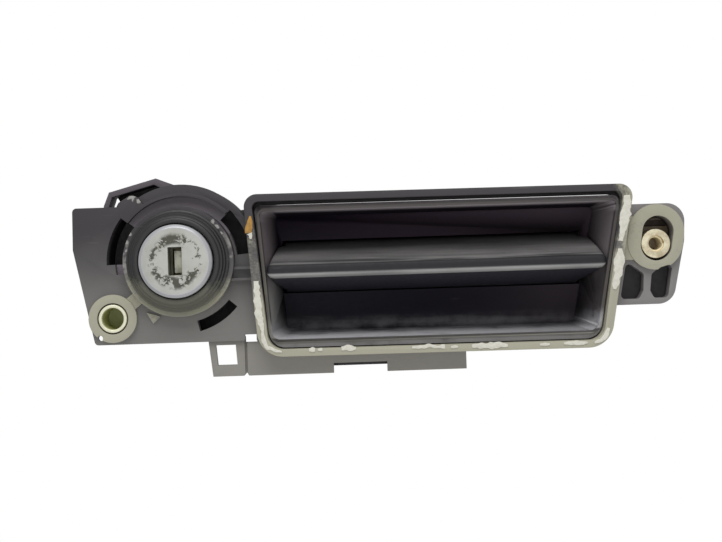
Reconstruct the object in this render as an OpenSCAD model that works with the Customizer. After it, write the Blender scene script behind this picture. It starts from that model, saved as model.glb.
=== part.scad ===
// Car door handle: carrier bracket, recessed grip bowl with a pivoting pull blade, and a key lock.
// Millimetres. X to the right, Y into the door, Z up.
// Origin: axis of the left mounting sleeve, on the front face of its boss.

/* [Recess rim] */
// Distance from the sleeve axis to the top left corner of the rim
recess_x = 41.8; // [41.4:0.1:42.2]
// Height of the rim's top edge above the sleeve axis
recess_top = 37.0; // [36.6:0.1:37.4]
// Width of the rim along its top edge
recess_top_w = 120.6; // [119:0.2:122]
// Width of the rim along its bottom edge
recess_bottom_w = 107.9; // [106:0.2:109]
// Height of the rim
recess_h = 50.4; // [49.8:0.2:51]
// Thickness of the rim wall at the top and bottom
rim_wall = 2.3; // [2:0.1:2.5]
// How far the rim stands in front of the boss faces
rim_front = 4.0; // [3:0.5:5]
// How far the rim wall reaches back
rim_back = 12.0; // [11:0.5:13]

/* [Grip bowl] */
// Depth of the back wall's front face
bowl_depth = 24.0; // [23:0.5:25]
// Wall thickness of the bowl
bowl_wall = 1.8; // [1.6:0.1:2]
// Draft of the side walls in degrees
side_draft = 8; // [6:0.5:9]
// Draft of the floor in degrees
floor_draft = 4; // [3:0.5:5]

/* [Pull blade] */
// Depth of the shaft axis
shaft_y = 27.0; // [27:0.1:27.4]
// Height of the shaft axis
shaft_z = 14.4; // [14.2:0.1:14.6]
// Radius of the blade's root drum
drum_r = 8.5; // [8.2:0.1:8.6]
// Radius of the blade shaft
shaft_r = 2.0; // [1.8:0.1:2.2]
// Radial clearance of every running fit
run_fit = 0.05; // [0.03:0.01:0.08]
// Space between the blade's ends and the bowl
blade_gap = 0.6; // [0.5:0.1:0.8]
// Height of the nose at the front of the blade
nose_h = 4.3; // [4:0.1:4.6]

/* [Release lever] */
// Radius of the drive pin's circle about the shaft
crank_r = 9.0; // [8.8:0.1:9.2]
// Radius of the slot's centre about the lever post
fork_r = 11.0; // [10.8:0.1:11.2]
// Direction from the shaft to the post, up from straight back
link_angle = 60; // [58:0.5:62]
// Full lift of the blade in degrees
blade_lift = 18; // [16:0.5:18]
// Length of the lever's output arm
output_r = 11.0; // [10:0.5:12]

/* [Lock] */
// Lock axis to the right of the sleeve axis
lock_x = 21.3; // [21:0.1:21.6]
// Lock axis above the sleeve axis
lock_z = 17.1; // [16.8:0.1:17.4]
// Radius of the lock face cap
face_r = 11.2; // [11:0.1:11.3]
// Radius of the lock barrel
barrel_r = 14.0; // [13.8:0.1:14.2]
// Outer radius of the collar round the lock
collar_r = 17.1; // [16.9:0.1:17.3]
// Radius of the lock plug
plug_r = 6.45; // [6.4:0.01:6.5]
// Width of the key slot in the face
slot_w = 4.2; // [4.1:0.1:4.3]
// Height of the key slot in the face
slot_h = 8.6; // [8.4:0.1:8.8]
// Distance from the lock axis to the rod hole of the lock lever
lock_lever_r = 16.0; // [15:0.5:17]

/* [Mounting] */
// Bore radius of the mounting sleeve
sleeve_bore_r = 3.4; // [3.3:0.05:3.5]
// Outer radius of the mounting sleeve
sleeve_r = 4.4; // [4.3:0.1:4.5]
// Length of the mounting sleeve
sleeve_len = 12.0; // [11:0.5:13]
// Radius of the nut's thread bore
nut_bore_r = 2.5; // [2.45:0.05:2.55]
// Nut axis to the right of the sleeve axis
nut_x = 169.4; // [169.3:0.1:169.5]
// Nut axis above the sleeve axis
nut_z = 17.8; // [17.6:0.1:18]
// Depth of the nut's front face
nut_front = 1.0; // [0.5:0.5:2]

/* [Hidden] */
$fn = 64;
tiny = 0.01;
deep = 200;

plate_front = 2.0;
plate_t = 2.5;
skirt_back = 14.0;
strip_front = 4.0;
ear_back = 14.0;
cup_r = 24.2;
cup_wall = 1.2;
cup_back = 18.0;
dish_r = 21.3;
dish_floor = 4.5;
collar_front = 3.0;
face_front = 10.0;
boss_r = 7.5;
ledge_front = 3.4;
gasket_t = 0.8;
flange_front = -1.0;

rim_side = (recess_top_w - recess_bottom_w) / 2;
rim_right = recess_x + recess_top_w;
rim_bottom = recess_top - recess_h;
rim_corners = [
    [recess_x, recess_top],
    [rim_right, recess_top - 0.5],
    [rim_right - 9.0, rim_bottom - 0.2],
    [rim_right - 9.0 - recess_bottom_w, rim_bottom + 0.2]
];
rim_inner = [
    rim_corners[0] + [rim_wall + 0.3, -rim_wall],
    rim_corners[1] + [-rim_wall - 1.2, -rim_wall + 0.2],
    rim_corners[2] + [-rim_wall + 0.2, rim_wall],
    rim_corners[3] + [rim_wall + 0.7, rim_wall - 0.1]
];
flange_corners = [
    rim_inner[0] + [0.5, -1.1],
    rim_inner[1] + [-0.5, -1.1],
    rim_inner[2] + [-0.4, 0.4],
    rim_inner[3] + [0.4, 0.4]
];
mouth_corners = [
    flange_corners[0] + [1.5, -1.7],
    flange_corners[1] + [-0.9, -1.6],
    flange_corners[2] + [-0.8, 2.5],
    flange_corners[3] + [0.5, 2.5]
];
mouth_depth = bowl_depth - flange_front;
side_in = mouth_depth * tan(side_draft);
floor_in = mouth_depth * tan(floor_draft);
top_in = mouth_depth * tan(2);
back_corners = [
    mouth_corners[0] + [side_in, -top_in],
    mouth_corners[1] + [-side_in, -top_in],
    mouth_corners[2] + [-side_in, floor_in],
    mouth_corners[3] + [side_in, floor_in]
];
saddle_x0 = back_corners[3][0] - 1.0;
saddle_x1 = back_corners[2][0] + 2.9;
drum_x0 = saddle_x0 + blade_gap;
drum_x1 = saddle_x1 - blade_gap;

ear_left_x0 = 46.0;
ear_left_x1 = 49.7;
ear_right_x0 = 152.0;
ear_right_x1 = 155.5;
post_y = shaft_y + (crank_r + fork_r) * cos(link_angle);
post_z = shaft_z + (crank_r + fork_r) * sin(link_angle);
post_r = 2.5;
crank_rest = link_angle + blade_lift / 2;
pin_y = shaft_y + crank_r * cos(crank_rest);
pin_z = shaft_z + crank_r * sin(crank_rest);
fork_rest = atan2(pin_z - post_z, pin_y - post_y);
drive_pin_r = 1.5;
buffer_turn = crank_rest + 37.3;
buffer_y = shaft_y + 10 * cos(buffer_turn);
buffer_z = shaft_z + 10 * sin(buffer_turn);
saddle_r = drum_r + 0.65;
output_rest = -7;
lever_x0 = 42.0;
lever_x1 = 45.0;
crank_x0 = 38.2;
crank_x1 = 41.2;
shaft_x0 = 36.6;
shaft_x1 = 167.4;
spring_x0 = 157.0;
spring_x1 = 165.0;
clip_t = 0.8;

slot_lean = 9;
ear_slot = [169.7, 19.5];
cage_half = 6.2;
ear_boss = [169.3, 19.9];

screw_r = 1.5;
screw_head_r = 3.0;
screw_len = 7.2;
// Bowl screws: X, Z and the depth of the face under the head
bowl_screw_seats = [
    [41.0, 29.5, 20.5],
    [161.5, 5.0, 20.5],
    [56.0, -15.6, 15.5],
    [98.0, -15.6, 15.5]
];

plug_front = -8.5;
pocket_back = -2.7;
hinge_x = lock_x + 2.3;
hinge_y = -7.3;
shutter_pin_r = 0.45;
tail_r = 4.0;
lever_front = 30.6;
lever_t = 3.0;

dark_plastic = [0.24, 0.24, 0.26];
black_plastic = [0.08, 0.08, 0.09];
rubber = [0.05, 0.05, 0.05];
silver = [0.72, 0.73, 0.74];
zinc = [0.62, 0.62, 0.60];
yellow_zinc = [0.80, 0.76, 0.50];
steel = [0.55, 0.55, 0.57];

// ---- shared shapes ----

// An outline in X and Z, extruded from depth y0 to y1.
module prism_y(y0, y1) {
    translate([0, y1, 0])
        rotate([90, 0, 0])
            linear_extrude(y1 - y0)
                children();
}

// An outline in Y and Z, extruded from x0 to x1.
module prism_x(x0, x1) {
    translate([x0, 0, 0])
        rotate([90, 0, 90])
            linear_extrude(x1 - x0)
                children();
}

module rod_y(x, z, r, y0, y1) {
    translate([x, y1, z])
        rotate([90, 0, 0])
            cylinder(r = r, h = y1 - y0);
}

module rod_x(y, z, r, x0, x1) {
    translate([x0, y, z])
        rotate([0, 90, 0])
            cylinder(r = r, h = x1 - x0);
}

module block(x0, x1, y0, y1, z0, z1) {
    translate([x0, y0, z0])
        cube([x1 - x0, y1 - y0, z1 - z0]);
}

module rounded(points, r) {
    offset(r = r)
        offset(delta = -r)
            polygon(points);
}

// A four-cornered outline with one radius at the top and another at the bottom.
module frame_outline(c, top_r, bottom_r) {
    intersection() {
        rounded([c[0], c[1], c[2] + (c[2] - c[1]) * 0.4, c[3] + (c[3] - c[0]) * 0.4], top_r);
        rounded([c[0] + (c[0] - c[3]) * 0.4, c[1] + (c[1] - c[2]) * 0.4, c[2], c[3]], bottom_r);
    }
}

module sector(r0, r1, a0, a1) {
    intersection() {
        difference() {
            circle(r = r1);
            circle(r = r0);
        }
        polygon([
            [0, 0],
            2 * r1 * [cos(a0), sin(a0)],
            2 * r1 * [cos((a0 + a1) / 2), sin((a0 + a1) / 2)],
            2 * r1 * [cos(a1), sin(a1)]
        ]);
    }
}

// A straight slot between two round ends, in the plane of an outline.
module oblong(half, r) {
    for (side = [-1, 1])
        translate([0, side * half])
            circle(r = r);
    square([2 * r, 2 * half], center = true);
}

// A retaining ring on a shaft along X, open on one side.
module ring_clip_x(y, z, r, x0) {
    difference() {
        rod_x(y, z, r + 1.7, x0, x0 + clip_t);
        rod_x(y, z, r, x0 - 1, x0 + clip_t + 1);
        block(x0 - 1, x0 + clip_t + 1, y - r * 0.6, y + r * 0.6, z - r - 3, z);
    }
}

module at_lock() {
    translate([lock_x, lock_z])
        children();
}

// ---- carrier bracket ----

module plate_outline() {
    rounded([
        [-11.9, 34.7], [-12.1, 21.7], [-6.0, -8.2],
        [46.0, -8.2], [43.5, 29.0], [30.0, 34.7]
    ], 1.3);
    at_lock()
        circle(r = dish_r);
    translate([6.8, 35.4])
        circle(r = 2.7);
    polygon([[1.0, 33.0], [2.6, 36.0], [4.6, 37.2], [9.2, 36.6], [12.0, 33.0]]);
}

module strip_outline() {
    polygon([
        [28.9, -7.0], [30.2, -19.3], [39.9, -19.3], [40.7, -18.4], [41.5, -19.3],
        [68.0, -19.3], [68.0, -16.2], [84.8, -16.2], [84.8, -19.3], [109.6, -19.3],
        [109.6, -11.6], [49.6, -11.6], [47.6, -9.8], [45.8, -7.0]
    ]);
}

module arc_slots() {
    at_lock() {
        sector(collar_r + 0.7, 23.0, 142, 181);
        sector(collar_r + 0.7, 22.2, 5, 45);
        sector(19.2, 22.6, -76, -40);
    }
}

module loop_outline() {
    polygon([[-3.4, 33.0], [-3.4, 35.4], [-1.6, 39.8], [13.4, 43.8], [21.0, 40.8], [22.0, 38.0], [2.0, 33.0]]);
}

module loop_opening() {
    polygon([[-1.9, 34.9], [-0.7, 38.3], [12.7, 41.9], [15.8, 40.4], [15.6, 34.0]]);
}

module ear_outline() {
    intersection() {
        rounded([[150.0, 30.3], [179.0, 30.3], [178.5, 18.5], [174.4, -1.0], [150.0, -1.0]], 5.5);
        polygon([[161.6, 40], [190, 40], [190, -10], [152.8, -10]]);
    }
}

module ear_pockets() {
    offset(r = 1.3)
        offset(delta = -1.3) {
            polygon([[160.2, 12.6], [165.6, 8.6], [165.3, 3.3], [163.9, 0.8], [158.0, 0.8]]);
            polygon([[168.0, 8.4], [170.4, 10.4], [174.7, 11.6], [172.9, 0.9], [168.6, 0.9], [167.4, 3.2]]);
        }
}

module lean_slot(half, r) {
    translate(ear_slot)
        rotate(-slot_lean)
            oblong(half, r);
}

module rim_ledge_outline() {
    difference() {
        frame_outline(rim_inner, 2.0, 5.0);
        offset(delta = bowl_wall + 0.25)
            frame_outline(mouth_corners, 2.0, 3.0);
    }
}

module carrier_bracket() {
    color(dark_plastic)
        difference() {
            union() {
                prism_y(plate_front, plate_front + plate_t)
                    plate_outline();
                prism_y(plate_front + 1, skirt_back)
                    intersection() {
                        difference() {
                            plate_outline();
                            offset(delta = -2)
                                plate_outline();
                        }
                        translate([-20, -20])
                            square([48, 70]);
                    }
                // Flange with the strip and the clip tab
                prism_y(strip_front, strip_front + plate_t)
                    strip_outline();
                block(66.0, 87.0, 8.0, 10.0, -17.3, rim_bottom + 1.0);
                block(44.5, 108.5, strip_front + 1, 10.0, rim_bottom - 1.4, rim_bottom + 1.0);
                // Rim frame with its ledge
                prism_y(-rim_front, rim_back)
                    difference() {
                        frame_outline(rim_corners, 4.0, 8.0);
                        frame_outline(rim_inner, 2.0, 5.0);
                    }
                prism_y(ledge_front, ledge_front + 2.2)
                    rim_ledge_outline();
                // Collar and cup round the lock
                rod_y(lock_x, lock_z, collar_r, -collar_front, cup_back);
                rod_y(lock_x, lock_z, cup_r, plate_front + plate_t, cup_back);
                // Left boss, its rib and the small gusset
                rod_y(0, 0, boss_r, 0, skirt_back);
                prism_y(0.8, plate_front + 1)
                    rotate(38)
                        translate([6.0, -2.1])
                            square([6.5, 4.2]);
                prism_y(1.0, plate_front + 1)
                    polygon([[10.4, 1.5], [12.4, -1.9], [14.8, 0.2]]);
                // Ribs between the collar and the rim
                for (z = [11.0, 14.5])
                    block(37.0, 43.8, 0.0, plate_front + 1, z - 0.4, z + 0.4);
                // Upper loop
                prism_y(9.0, cup_back)
                    difference() {
                        loop_outline();
                        loop_opening();
                    }
                prism_y(cup_back - 1.5, cup_back)
                    polygon([[1.2, 36.0], [-0.2, 38.4], [12.7, 42.3], [16.6, 40.4], [16.0, 34.0]]);
                // Right ear with its boss
                prism_y(plate_front, ear_back)
                    ear_outline();
                prism_y(0, plate_front + 1)
                    translate(ear_boss)
                        rotate(-slot_lean)
                            oblong(1.6, 8.6);
                prism_y(0.3, plate_front + 1)
                    polygon([[160.6, 26.4], [165.0, 26.6], [165.0, 13.0], [158.2, 13.0]]);
                // Bosses for the bowl screws
                rod_y(bowl_screw_seats[0][0], bowl_screw_seats[0][1], 3.4, 8.0, cup_back);
                rod_y(bowl_screw_seats[1][0], bowl_screw_seats[1][1], 3.4, ear_back - 3, cup_back);
                for (i = [2, 3])
                    rod_y(bowl_screw_seats[i][0], bowl_screw_seats[i][1], 3.2, strip_front + 1, 13.0);
            }
            // Recessed dish and the hollow of the cup behind it
            prism_y(plate_front - 5, dish_floor)
                intersection() {
                    at_lock()
                        difference() {
                            circle(r = dish_r - 1.0);
                            circle(r = collar_r);
                        }
                    polygon([[4, 13.6], [30, 13.6], [37, 15.5], [37, 28], [43, 33], [22, 42], [-2, 32], [-2, 13.6]]);
                }
            rod_y(lock_x, lock_z, barrel_r, -collar_front - 1, cup_back + 1);
            prism_y(plate_front + plate_t + 2, cup_back - 2)
                at_lock()
                    difference() {
                        circle(r = cup_r - cup_wall);
                        circle(r = collar_r);
                    }
            prism_y(-1, plate_front + plate_t + 3)
                arc_slots();
            // Left boss bore, closed behind, with a wider mouth round the sleeve
            rod_y(0, 0, sleeve_r, -1, sleeve_len);
            rod_y(0, 0, sleeve_r + 0.45, -1, 3.0);
            // Small sight hole below the boss, relieved behind
            rod_y(-4.1, -6.0, 0.9, -1, skirt_back + 1);
            rod_y(-6.2, -6.8, 3.2, plate_front + 1.2, skirt_back + 1);
            // Clip window, see-through opening and the groove beside the tab
            prism_y(0, strip_front + plate_t + 1)
                polygon([[31.2, -9.5], [37.5, -9.5], [37.9, -15.8], [31.7, -15.8]]);
            block(40.6, 44.3, 0, skirt_back, -8.8, -6.3);
            block(40.3, 41.1, strip_front - 1, strip_front + 1.2, -19.0, -8.0);
            // Right ear: slot, nut pocket and two blind pockets
            prism_y(-1, ear_back + 1)
                lean_slot(2.15, 4.85);
            block(nut_x - cage_half, nut_x + cage_half, 8.0, ear_back + 1, nut_z - 8.4, nut_z + 8.4);
            prism_y(-1, 7.4)
                ear_pockets();
            // Bowl screw holes
            for (seat = bowl_screw_seats)
                rod_y(seat[0], seat[1], screw_r, seat[2] - screw_len - 0.4, seat[2] + 1);
        }
}

// ---- grip bowl ----

module frustum(front, back, grow, y0, y1) {
    slope = (mouth_depth > 0) ? 1 / mouth_depth : 0;
    hull()
        for (y = [y0, y1])
            prism_y(y - tiny, y)
                offset(delta = grow)
                    frame_outline([
                        for (i = [0:3])
                            front[i] + (back[i] - front[i]) * (y - flange_front) * slope
                    ], 1.5, 2.5, $fn = 24);
}

module left_ear_outline() {
    polygon([
        [20.0, 4.0], [30.0, 5.6], [shaft_y + 7.5, shaft_z - 2.0],
        [post_y + 5.6, post_z - 2.6], [post_y + 4.6, post_z + 3.4],
        [post_y - 3.0, post_z + 4.4], [24.0, 31.0], [20.0, 31.0]
    ]);
}

module right_ear_outline() {
    polygon([
        [18.0, 1.0], [28.0, 5.0], [shaft_y + 7.0, shaft_z - 4.0],
        [shaft_y + 7.0, shaft_z + 4.0], [shaft_y, shaft_z + 9.0], [18.0, 26.0]
    ]);
}

module grip_bowl() {
    color(black_plastic)
        difference() {
            union() {
                intersection() {
                    frustum(mouth_corners, back_corners, bowl_wall, flange_front + 1, bowl_depth + 2);
                    prism_y(flange_front, bowl_depth + 3)
                        frame_outline(flange_corners, 2.0, 5.0);
                }
                // Stepped flange with two beads
                prism_y(flange_front + 0.6, ledge_front - gasket_t)
                    frame_outline(flange_corners, 2.0, 5.0);
                prism_y(flange_front, flange_front + 1)
                    difference() {
                        offset(delta = 0.9)
                            frame_outline(mouth_corners, 2.0, 3.0);
                        frame_outline(mouth_corners, 2.0, 3.0);
                    }
                // Trough behind the blade's drum
                intersection() {
                    rod_x(shaft_y, shaft_z, saddle_r + 1.5, ear_left_x0 + 2, ear_right_x1 - 1);
                    block(40, 160, bowl_depth, 60, -10, 40);
                }
                prism_x(ear_left_x0, ear_left_x1)
                    left_ear_outline();
                prism_x(ear_right_x0, ear_right_x1)
                    right_ear_outline();
                // Lugs under the bowl screws
                block(38.0, 49.0, cup_back, 20.5, 26.5, 32.5);
                block(150.0, 165.0, cup_back, 20.5, 1.5, 8.5);
                for (i = [2, 3])
                    block(
                        bowl_screw_seats[i][0] - 3.6, bowl_screw_seats[i][0] + 3.6,
                        13.0, 15.5, -18.8, -8.2
                    );
            }
            frustum(mouth_corners, back_corners, 0, flange_front - 1, bowl_depth);
            rod_x(shaft_y, shaft_z, saddle_r, saddle_x0, saddle_x1);
            for (seat = bowl_screw_seats)
                rod_y(seat[0], seat[1], screw_r, seat[2] - screw_len - 0.4, seat[2] + 1);
            rod_x(shaft_y, shaft_z, 3.4, ear_left_x0 - 1, ear_left_x1 + 3);
            rod_x(shaft_y, shaft_z, 3.4, ear_right_x0 - 3, ear_right_x1 + 1);
            rod_x(post_y, post_z, post_r, ear_left_x0 - 1, ear_left_x1 + 1);
            rod_x(buffer_y, buffer_z, 1.6, ear_left_x0 - 1, ear_left_x0 + 2);
        }
}

module recess_gasket() {
    color(rubber)
        prism_y(ledge_front - gasket_t, ledge_front)
            difference() {
                frame_outline(flange_corners, 2.0, 5.0);
                offset(delta = bowl_wall + 0.25)
                    frame_outline(mouth_corners, 2.0, 3.0);
            }
}

module bowl_screws() {
    color(steel)
        for (seat = bowl_screw_seats)
            difference() {
                union() {
                    rod_y(seat[0], seat[1], screw_head_r, seat[2], seat[2] + 2.0);
                    rod_y(seat[0], seat[1], screw_r, seat[2] - screw_len, seat[2]);
                }
                for (turn = [0, 90])
                    translate([seat[0], seat[2] + 1.6, seat[1]])
                        rotate([0, turn, 0])
                            cube([3.2, 1.2, 0.7], center = true);
            }
}

// ---- mounting hardware ----

module mounting_sleeve() {
    color(yellow_zinc)
        difference() {
            rod_y(0, 0, sleeve_r, 0, sleeve_len);
            rod_y(0, 0, sleeve_bore_r, -1, sleeve_len - 1);
        }
}

module floating_nut() {
    color(yellow_zinc)
        difference() {
            union() {
                rod_y(nut_x, nut_z, 4.5, nut_front, 9.0);
                block(nut_x - 5.6, nut_x + 5.6, 8.4, 11.4, nut_z - 5.6, nut_z + 5.6);
            }
            rod_y(nut_x, nut_z, nut_bore_r, nut_front - 1, 12.4);
        }
}

module nut_cage() {
    color(steel)
        difference() {
            union() {
                block(nut_x - cage_half, nut_x + cage_half, 11.4, 12.4, nut_z - 8.4, nut_z + 8.4);
                for (side = [-1, 1])
                    translate([0, 0, side * 7.9])
                        block(nut_x - cage_half, nut_x + cage_half, 8.0, 11.4, nut_z - 0.5, nut_z + 0.5);
            }
            // Shallow dish in the closed back, behind the nut's bore
            rod_y(nut_x, nut_z, 3.6, 11.0, 11.9);
        }
}

// ---- lock, fixed part ----

module lock_barrel() {
    color(zinc)
        difference() {
            union() {
                rod_y(lock_x, lock_z, barrel_r, -collar_front, 30.0);
                rod_y(lock_x, lock_z, 9.0, -6.2, -collar_front);
            }
            rod_y(lock_x, lock_z, plug_r + run_fit, -7, 27);
            rod_y(lock_x, lock_z, 8.2, 26.0, 31.0);
            difference() {
                rod_y(lock_x, lock_z, barrel_r + 1, cup_back, cup_back + 1.2);
                rod_y(lock_x, lock_z, 12.4, cup_back - 1, cup_back + 2.2);
            }
        }
}

module lock_seal_ring() {
    color(rubber)
        difference() {
            union() {
                rod_y(lock_x, lock_z, 14.2, -8.0, -collar_front);
                rod_y(lock_x, lock_z, 15.8, -4.6, -collar_front);
            }
            rod_y(lock_x, lock_z, face_r + 0.4, -9, -2);
        }
}

module barrel_clip() {
    color(steel)
        prism_y(cup_back, cup_back + 1.2)
            at_lock()
                difference() {
                    rounded([[-16, -15], [16, -15], [16, 17.5], [-16, 17.5]], 3);
                    circle(r = 12.4);
                    translate([-12.4, -20])
                        square([24.8, 20]);
                }
}

// ---- bearings of the blade and the release lever ----

module shaft_bushes() {
    color(steel)
        difference() {
            union() {
                rod_x(shaft_y, shaft_z, 3.4, ear_left_x0, ear_left_x1 + 0.5);
                rod_x(shaft_y, shaft_z, 3.4, ear_right_x0 - 0.5, ear_right_x1);
            }
            rod_x(shaft_y, shaft_z, shaft_r + run_fit, ear_left_x0 - 1, ear_right_x1 + 1);
        }
}

module release_post() {
    color(steel)
        difference() {
            rod_x(post_y, post_z, post_r, 40.2, ear_left_x1);
            difference() {
                rod_x(post_y, post_z, post_r + 1, 41.0, 41.0 + clip_t);
                rod_x(post_y, post_z, post_r - 0.5, 40.5, 42.5);
            }
        }
}

module rest_buffer() {
    color(rubber) {
        rod_x(buffer_y, buffer_z, 1.6, crank_x1, ear_left_x0 + 2);
        rod_x(buffer_y, buffer_z, 2.6, crank_x0, crank_x1);
    }
}

// ---- blade group ----

module blade_profile() {
    low = shaft_z - 3.6;
    top = low + nose_h;
    polygon([
        [-1.9, low + 0.5], [-1.3, low], [0.5, low],
        [shaft_y - 1.5, shaft_z - drum_r + 0.13],
        [shaft_y, shaft_z], [shaft_y - 2.35, shaft_z + drum_r - 0.33],
        [0.2, top], [-0.6, top - 0.3], [-1.2, top - 2.2], [-1.9, top - 2.6]
    ]);
}

module pull_blade() {
    color(dark_plastic)
        difference() {
            union() {
                intersection() {
                    prism_x(40, 170)
                        blade_profile();
                    frustum(mouth_corners, back_corners, -blade_gap, -2.6, bowl_depth + 6);
                }
                rod_x(shaft_y, shaft_z, drum_r, drum_x0, drum_x1);
            }
            rod_x(shaft_y, shaft_z, 9.9, 30, drum_x0);
            rod_x(shaft_y, shaft_z, 9.9, drum_x1, 170);
            rod_x(shaft_y, shaft_z, shaft_r, 30, 180);
        }
}

module blade_shaft() {
    color(steel)
        difference() {
            rod_x(shaft_y, shaft_z, shaft_r, shaft_x0, shaft_x1);
            for (x0 = [crank_x0 - clip_t, spring_x1 + 1.0])
                difference() {
                    rod_x(shaft_y, shaft_z, shaft_r + 1, x0, x0 + clip_t);
                    rod_x(shaft_y, shaft_z, shaft_r - 0.4, x0 - 1, x0 + 2);
                }
        }
}

module crank_arm() {
    color(zinc)
        difference() {
            union() {
                rod_x(shaft_y, shaft_z, 4.6, crank_x0, crank_x1);
                rod_x(pin_y, pin_z, 3.2, crank_x0, crank_x1);
                translate([0, shaft_y, shaft_z])
                    rotate([crank_rest, 0, 0])
                        block(crank_x0, crank_x1, 0, crank_r, -2.9, 2.9);
            }
            rod_x(shaft_y, shaft_z, shaft_r, crank_x0 - 1, crank_x1 + 1);
            rod_x(pin_y, pin_z, drive_pin_r, crank_x0 - 1, crank_x1 + 1);
        }
}

module drive_pin() {
    color(steel)
        rod_x(pin_y, pin_z, drive_pin_r, crank_x0, lever_x1 + 0.3);
}

module shaft_circlips() {
    color(steel)
        for (x0 = [crank_x0 - clip_t, spring_x1 + 1.0])
            ring_clip_x(shaft_y, shaft_z, shaft_r - 0.4, x0);
}

module return_spring() {
    color(steel)
        difference() {
            rod_x(shaft_y, shaft_z, 4.6, spring_x0, spring_x1);
            rod_x(shaft_y, shaft_z, shaft_r, spring_x0 - 1, spring_x1 + 1);
        }
}

// ---- release lever group ----

module release_lever_outline() {
    output = [cos(output_rest), sin(output_rest)] * output_r;
    difference() {
        union() {
            translate([post_y, post_z]) {
                circle(r = 5.0);
                rotate(fork_rest)
                    translate([0, -3.1])
                        square([fork_r, 6.2]);
                rotate(output_rest)
                    translate([0, -3.0])
                        square([output_r, 6.0]);
            }
            translate([pin_y, pin_z])
                circle(r = 3.6);
            translate([post_y, post_z] + output)
                circle(r = 4.4);
        }
        translate([post_y, post_z])
            rotate(fork_rest)
                translate([fork_r + 0.1, 0])
                    rotate(90)
                        oblong(0.5, drive_pin_r + 0.35);
    }
}

module release_lever() {
    output = [cos(output_rest), sin(output_rest)] * output_r;
    color(zinc)
        difference() {
            prism_x(lever_x0, lever_x1)
                release_lever_outline();
            rod_x(post_y, post_z, post_r + run_fit, lever_x0 - 1, lever_x1 + 1);
            rod_x(post_y + output[0], post_z + output[1], 2.9, lever_x0 - 1, lever_x1 + 1);
        }
}

module lever_circlip() {
    color(steel)
        ring_clip_x(post_y, post_z, post_r - 0.5, 41.0);
}

module release_rod_clip() {
    output = [cos(output_rest), sin(output_rest)] * output_r;
    color(black_plastic)
        difference() {
            union() {
                rod_x(post_y + output[0], post_z + output[1], 2.9, lever_x0, lever_x1 + 0.8);
                rod_x(post_y + output[0], post_z + output[1], 4.0, lever_x0 - 1.6, lever_x0);
                rod_x(post_y + output[0], post_z + output[1], 3.6, lever_x1, lever_x1 + 0.8);
            }
            rod_x(post_y + output[0], post_z + output[1], 1.8, lever_x0 - 3, lever_x1 + 3);
        }
}

// ---- plug group ----

module key_pocket() {
    block(lock_x - 2.3, lock_x + 3.6, plug_front - 1, pocket_back, lock_z - 4.5, lock_z + 4.5);
}

module lock_plug() {
    color(zinc)
        difference() {
            union() {
                rod_y(lock_x, lock_z, 9.6, plug_front, -6.4);
                rod_y(lock_x, lock_z, plug_r, -7, 26.0);
                rod_y(lock_x, lock_z, tail_r, 25, 35.4);
            }
            key_pocket();
            block(lock_x - 1.6, lock_x + 1.6, pocket_back - 1, 23, lock_z - 4.0, lock_z + 4.0);
            for (i = [0:4])
                block(
                    lock_x - 2.6, lock_x + 2.6, 1 + 4.2 * i, 2 + 4.2 * i,
                    lock_z - 7.0, lock_z + 7.0
                );
            rod_z_hinge(shutter_pin_r, 5.4);
            // Flats that drive the lever
            for (side = [-1, 1])
                translate([side * 4.6, 0, 0])
                    block(lock_x - 1.4, lock_x + 1.4, lever_front, 36, lock_z - 6, lock_z + 6);
            difference() {
                rod_y(lock_x, lock_z, tail_r + 1, 33.8, 34.6);
                rod_y(lock_x, lock_z, 2.7, 33, 36);
            }
        }
}

module rod_z_hinge(r, half) {
    translate([hinge_x, hinge_y, lock_z - half])
        cylinder(r = r, h = 2 * half);
}

module lock_face_cap() {
    color(silver)
        difference() {
            union() {
                rod_y(lock_x, lock_z, face_r, -face_front + 0.8, -5.0);
                translate([lock_x, -face_front + 0.8, lock_z])
                    rotate([90, 0, 0])
                        cylinder(r1 = face_r, r2 = face_r - 0.9, h = 0.8);
            }
            rod_y(lock_x, lock_z, 9.6, plug_front, -4);
            block(
                lock_x - slot_w / 2, lock_x + slot_w / 2, -face_front - 1, plug_front + 1,
                lock_z - slot_h / 2, lock_z + slot_h / 2
            );
        }
}

module wafer_tumblers() {
    color(yellow_zinc)
        for (i = [0:4])
            difference() {
                block(
                    lock_x - 2.6, lock_x + 2.6, 1.1 + 4.2 * i, 1.9 + 4.2 * i,
                    lock_z - 5.6, lock_z + 5.6
                );
                block(lock_x - 1.6, lock_x + 1.6, 0, 22, lock_z - 3.6 + 0.2 * i, lock_z + 3.6);
            }
}

module lock_lever() {
    color(zinc)
        difference() {
            union() {
                rod_y(lock_x, lock_z, 6.6, lever_front, lever_front + lever_t);
                block(
                    lock_x - 3.6, lock_x + 3.6, lever_front, lever_front + lever_t,
                    lock_z - lock_lever_r, lock_z
                );
                rod_y(lock_x, lock_z - lock_lever_r, 4.6, lever_front, lever_front + lever_t);
            }
            intersection() {
                rod_y(lock_x, lock_z, tail_r, lever_front - 1, lever_front + lever_t + 1);
                block(lock_x - 3.2, lock_x + 3.2, lever_front - 1, 40, lock_z - 6, lock_z + 6);
            }
            rod_y(lock_x, lock_z - lock_lever_r, 2.9, lever_front - 1, lever_front + lever_t + 1);
        }
}

module tail_circlip() {
    color(steel)
        difference() {
            rod_y(lock_x, lock_z, 5.6, 33.8, 34.6);
            rod_y(lock_x, lock_z, 2.7, 33, 36);
            block(lock_x - 1.6, lock_x + 1.6, 33, 36, lock_z - 8, lock_z);
        }
}

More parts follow.
